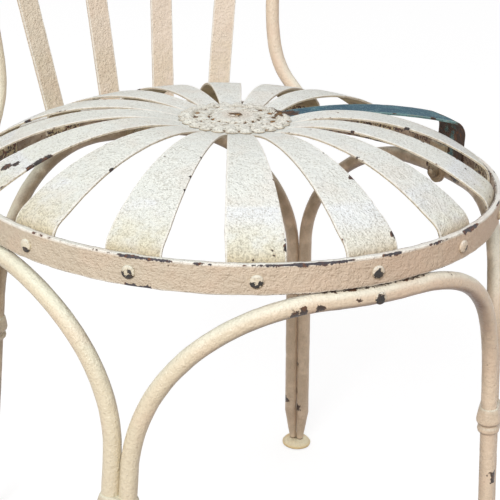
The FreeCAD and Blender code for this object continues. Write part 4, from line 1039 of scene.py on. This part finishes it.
floor_mesh = bpy.data.meshes.new("floor")
floor_mesh.from_pydata([(x * FLOOR_HALF, y * FLOOR_HALF, -FLOOR_SINK)
                        for x, y in ((-1, -1), (1, -1), (1, 1), (-1, 1))], [], [(0, 1, 2, 3)])
floor = bpy.data.objects.new("floor", floor_mesh)
bpy.context.scene.collection.objects.link(floor)
floor_material = bpy.data.materials.new("pale matt floor")
floor_material.use_nodes = True
tree = floor_material.node_tree
tree.nodes.clear()
seen = add(tree, "Math", {0: add(tree, "LightPath", {}, "Is Camera Ray"),
                          1: add(tree, "LightPath", {}, "Is Glossy Ray")}, operation="MAXIMUM")
pale = add(tree, "Mix", {0: seen, 6: linear("ad9c8b"), 7: linear("a6a6a6")}, 2,
           data_type="RGBA")
matt = add(tree, "BsdfDiffuse", {"Color": pale})
white = add(tree, "Emission", {"Color": (1, 1, 1, 1),
                               "Strength": weighted(tree, 0.0, (seen, 0.72))})
add(tree, "OutputMaterial", {"Surface": add(tree, "AddShader", {0: matt, 1: white})})
floor_mesh.materials.append(floor_material)

world = bpy.data.worlds.new("studio")
bpy.context.scene.world = world
world.use_nodes = True
tree = world.node_tree
tree.nodes.clear()
rise = add(tree, "SeparateXYZ", {0: add(tree, "TexCoord", {}, "Generated")}, "Z")
sky = coat(tree, linear("cdbfae"), linear("f7f8fb"), rise, -0.1, 0.8)
ambient = add(tree, "Background", {"Color": sky, "Strength": 0.76})
clear = add(tree, "Background", {"Color": (1, 1, 1, 1), "Strength": 0.98})
viewed = add(tree, "LightPath", {}, "Is Camera Ray")
add(tree, "OutputWorld", {"Surface": add(tree, "MixShader", {0: viewed, 1: ambient, 2: clear})})

lamp = bpy.data.lights.new("soft_key", "AREA")
lamp.energy = 50.0
lamp.size = 1.0
lamp.color = (1.0, 1.0, 1.0)
key = bpy.data.objects.new("soft_key", lamp)
bpy.context.scene.collection.objects.link(key)
key.location = (-1.6, -1.7, 2.0)
key.rotation_euler = (Vector((0, 0, 0.4)) - key.location).to_track_quat("-Z", "Y").to_euler()

# The camera stands left of the chair's front, looks down at it and is held a little askew
CAMERA_PLACE = Vector((-407.131, -794.154, 672.782))
CAMERA_TURN = 28.18843
CAMERA_DOWN = 21.45492
CAMERA_ROLL = 2.21295
CAMERA_LENS = 82.436
camera_data = bpy.data.cameras.new("camera")
camera = bpy.data.objects.new("camera", camera_data)
bpy.context.scene.collection.objects.link(camera)
camera_data.sensor_width = 36.0
camera_data.lens = CAMERA_LENS
camera.location = (CAMERA_PLACE + SEAT_MIDDLE) * 0.001
aim = Matrix.Rotation(math.radians(-CAMERA_TURN), 3, "Z")
aim = aim @ Matrix.Rotation(math.radians(90.0 - CAMERA_DOWN), 3, "X")
aim = aim @ Matrix.Rotation(math.radians(CAMERA_ROLL), 3, "Z")
camera.rotation_euler = aim.to_euler()
bpy.context.scene.camera = camera
bpy.context.scene.view_settings.view_transform = "Standard"
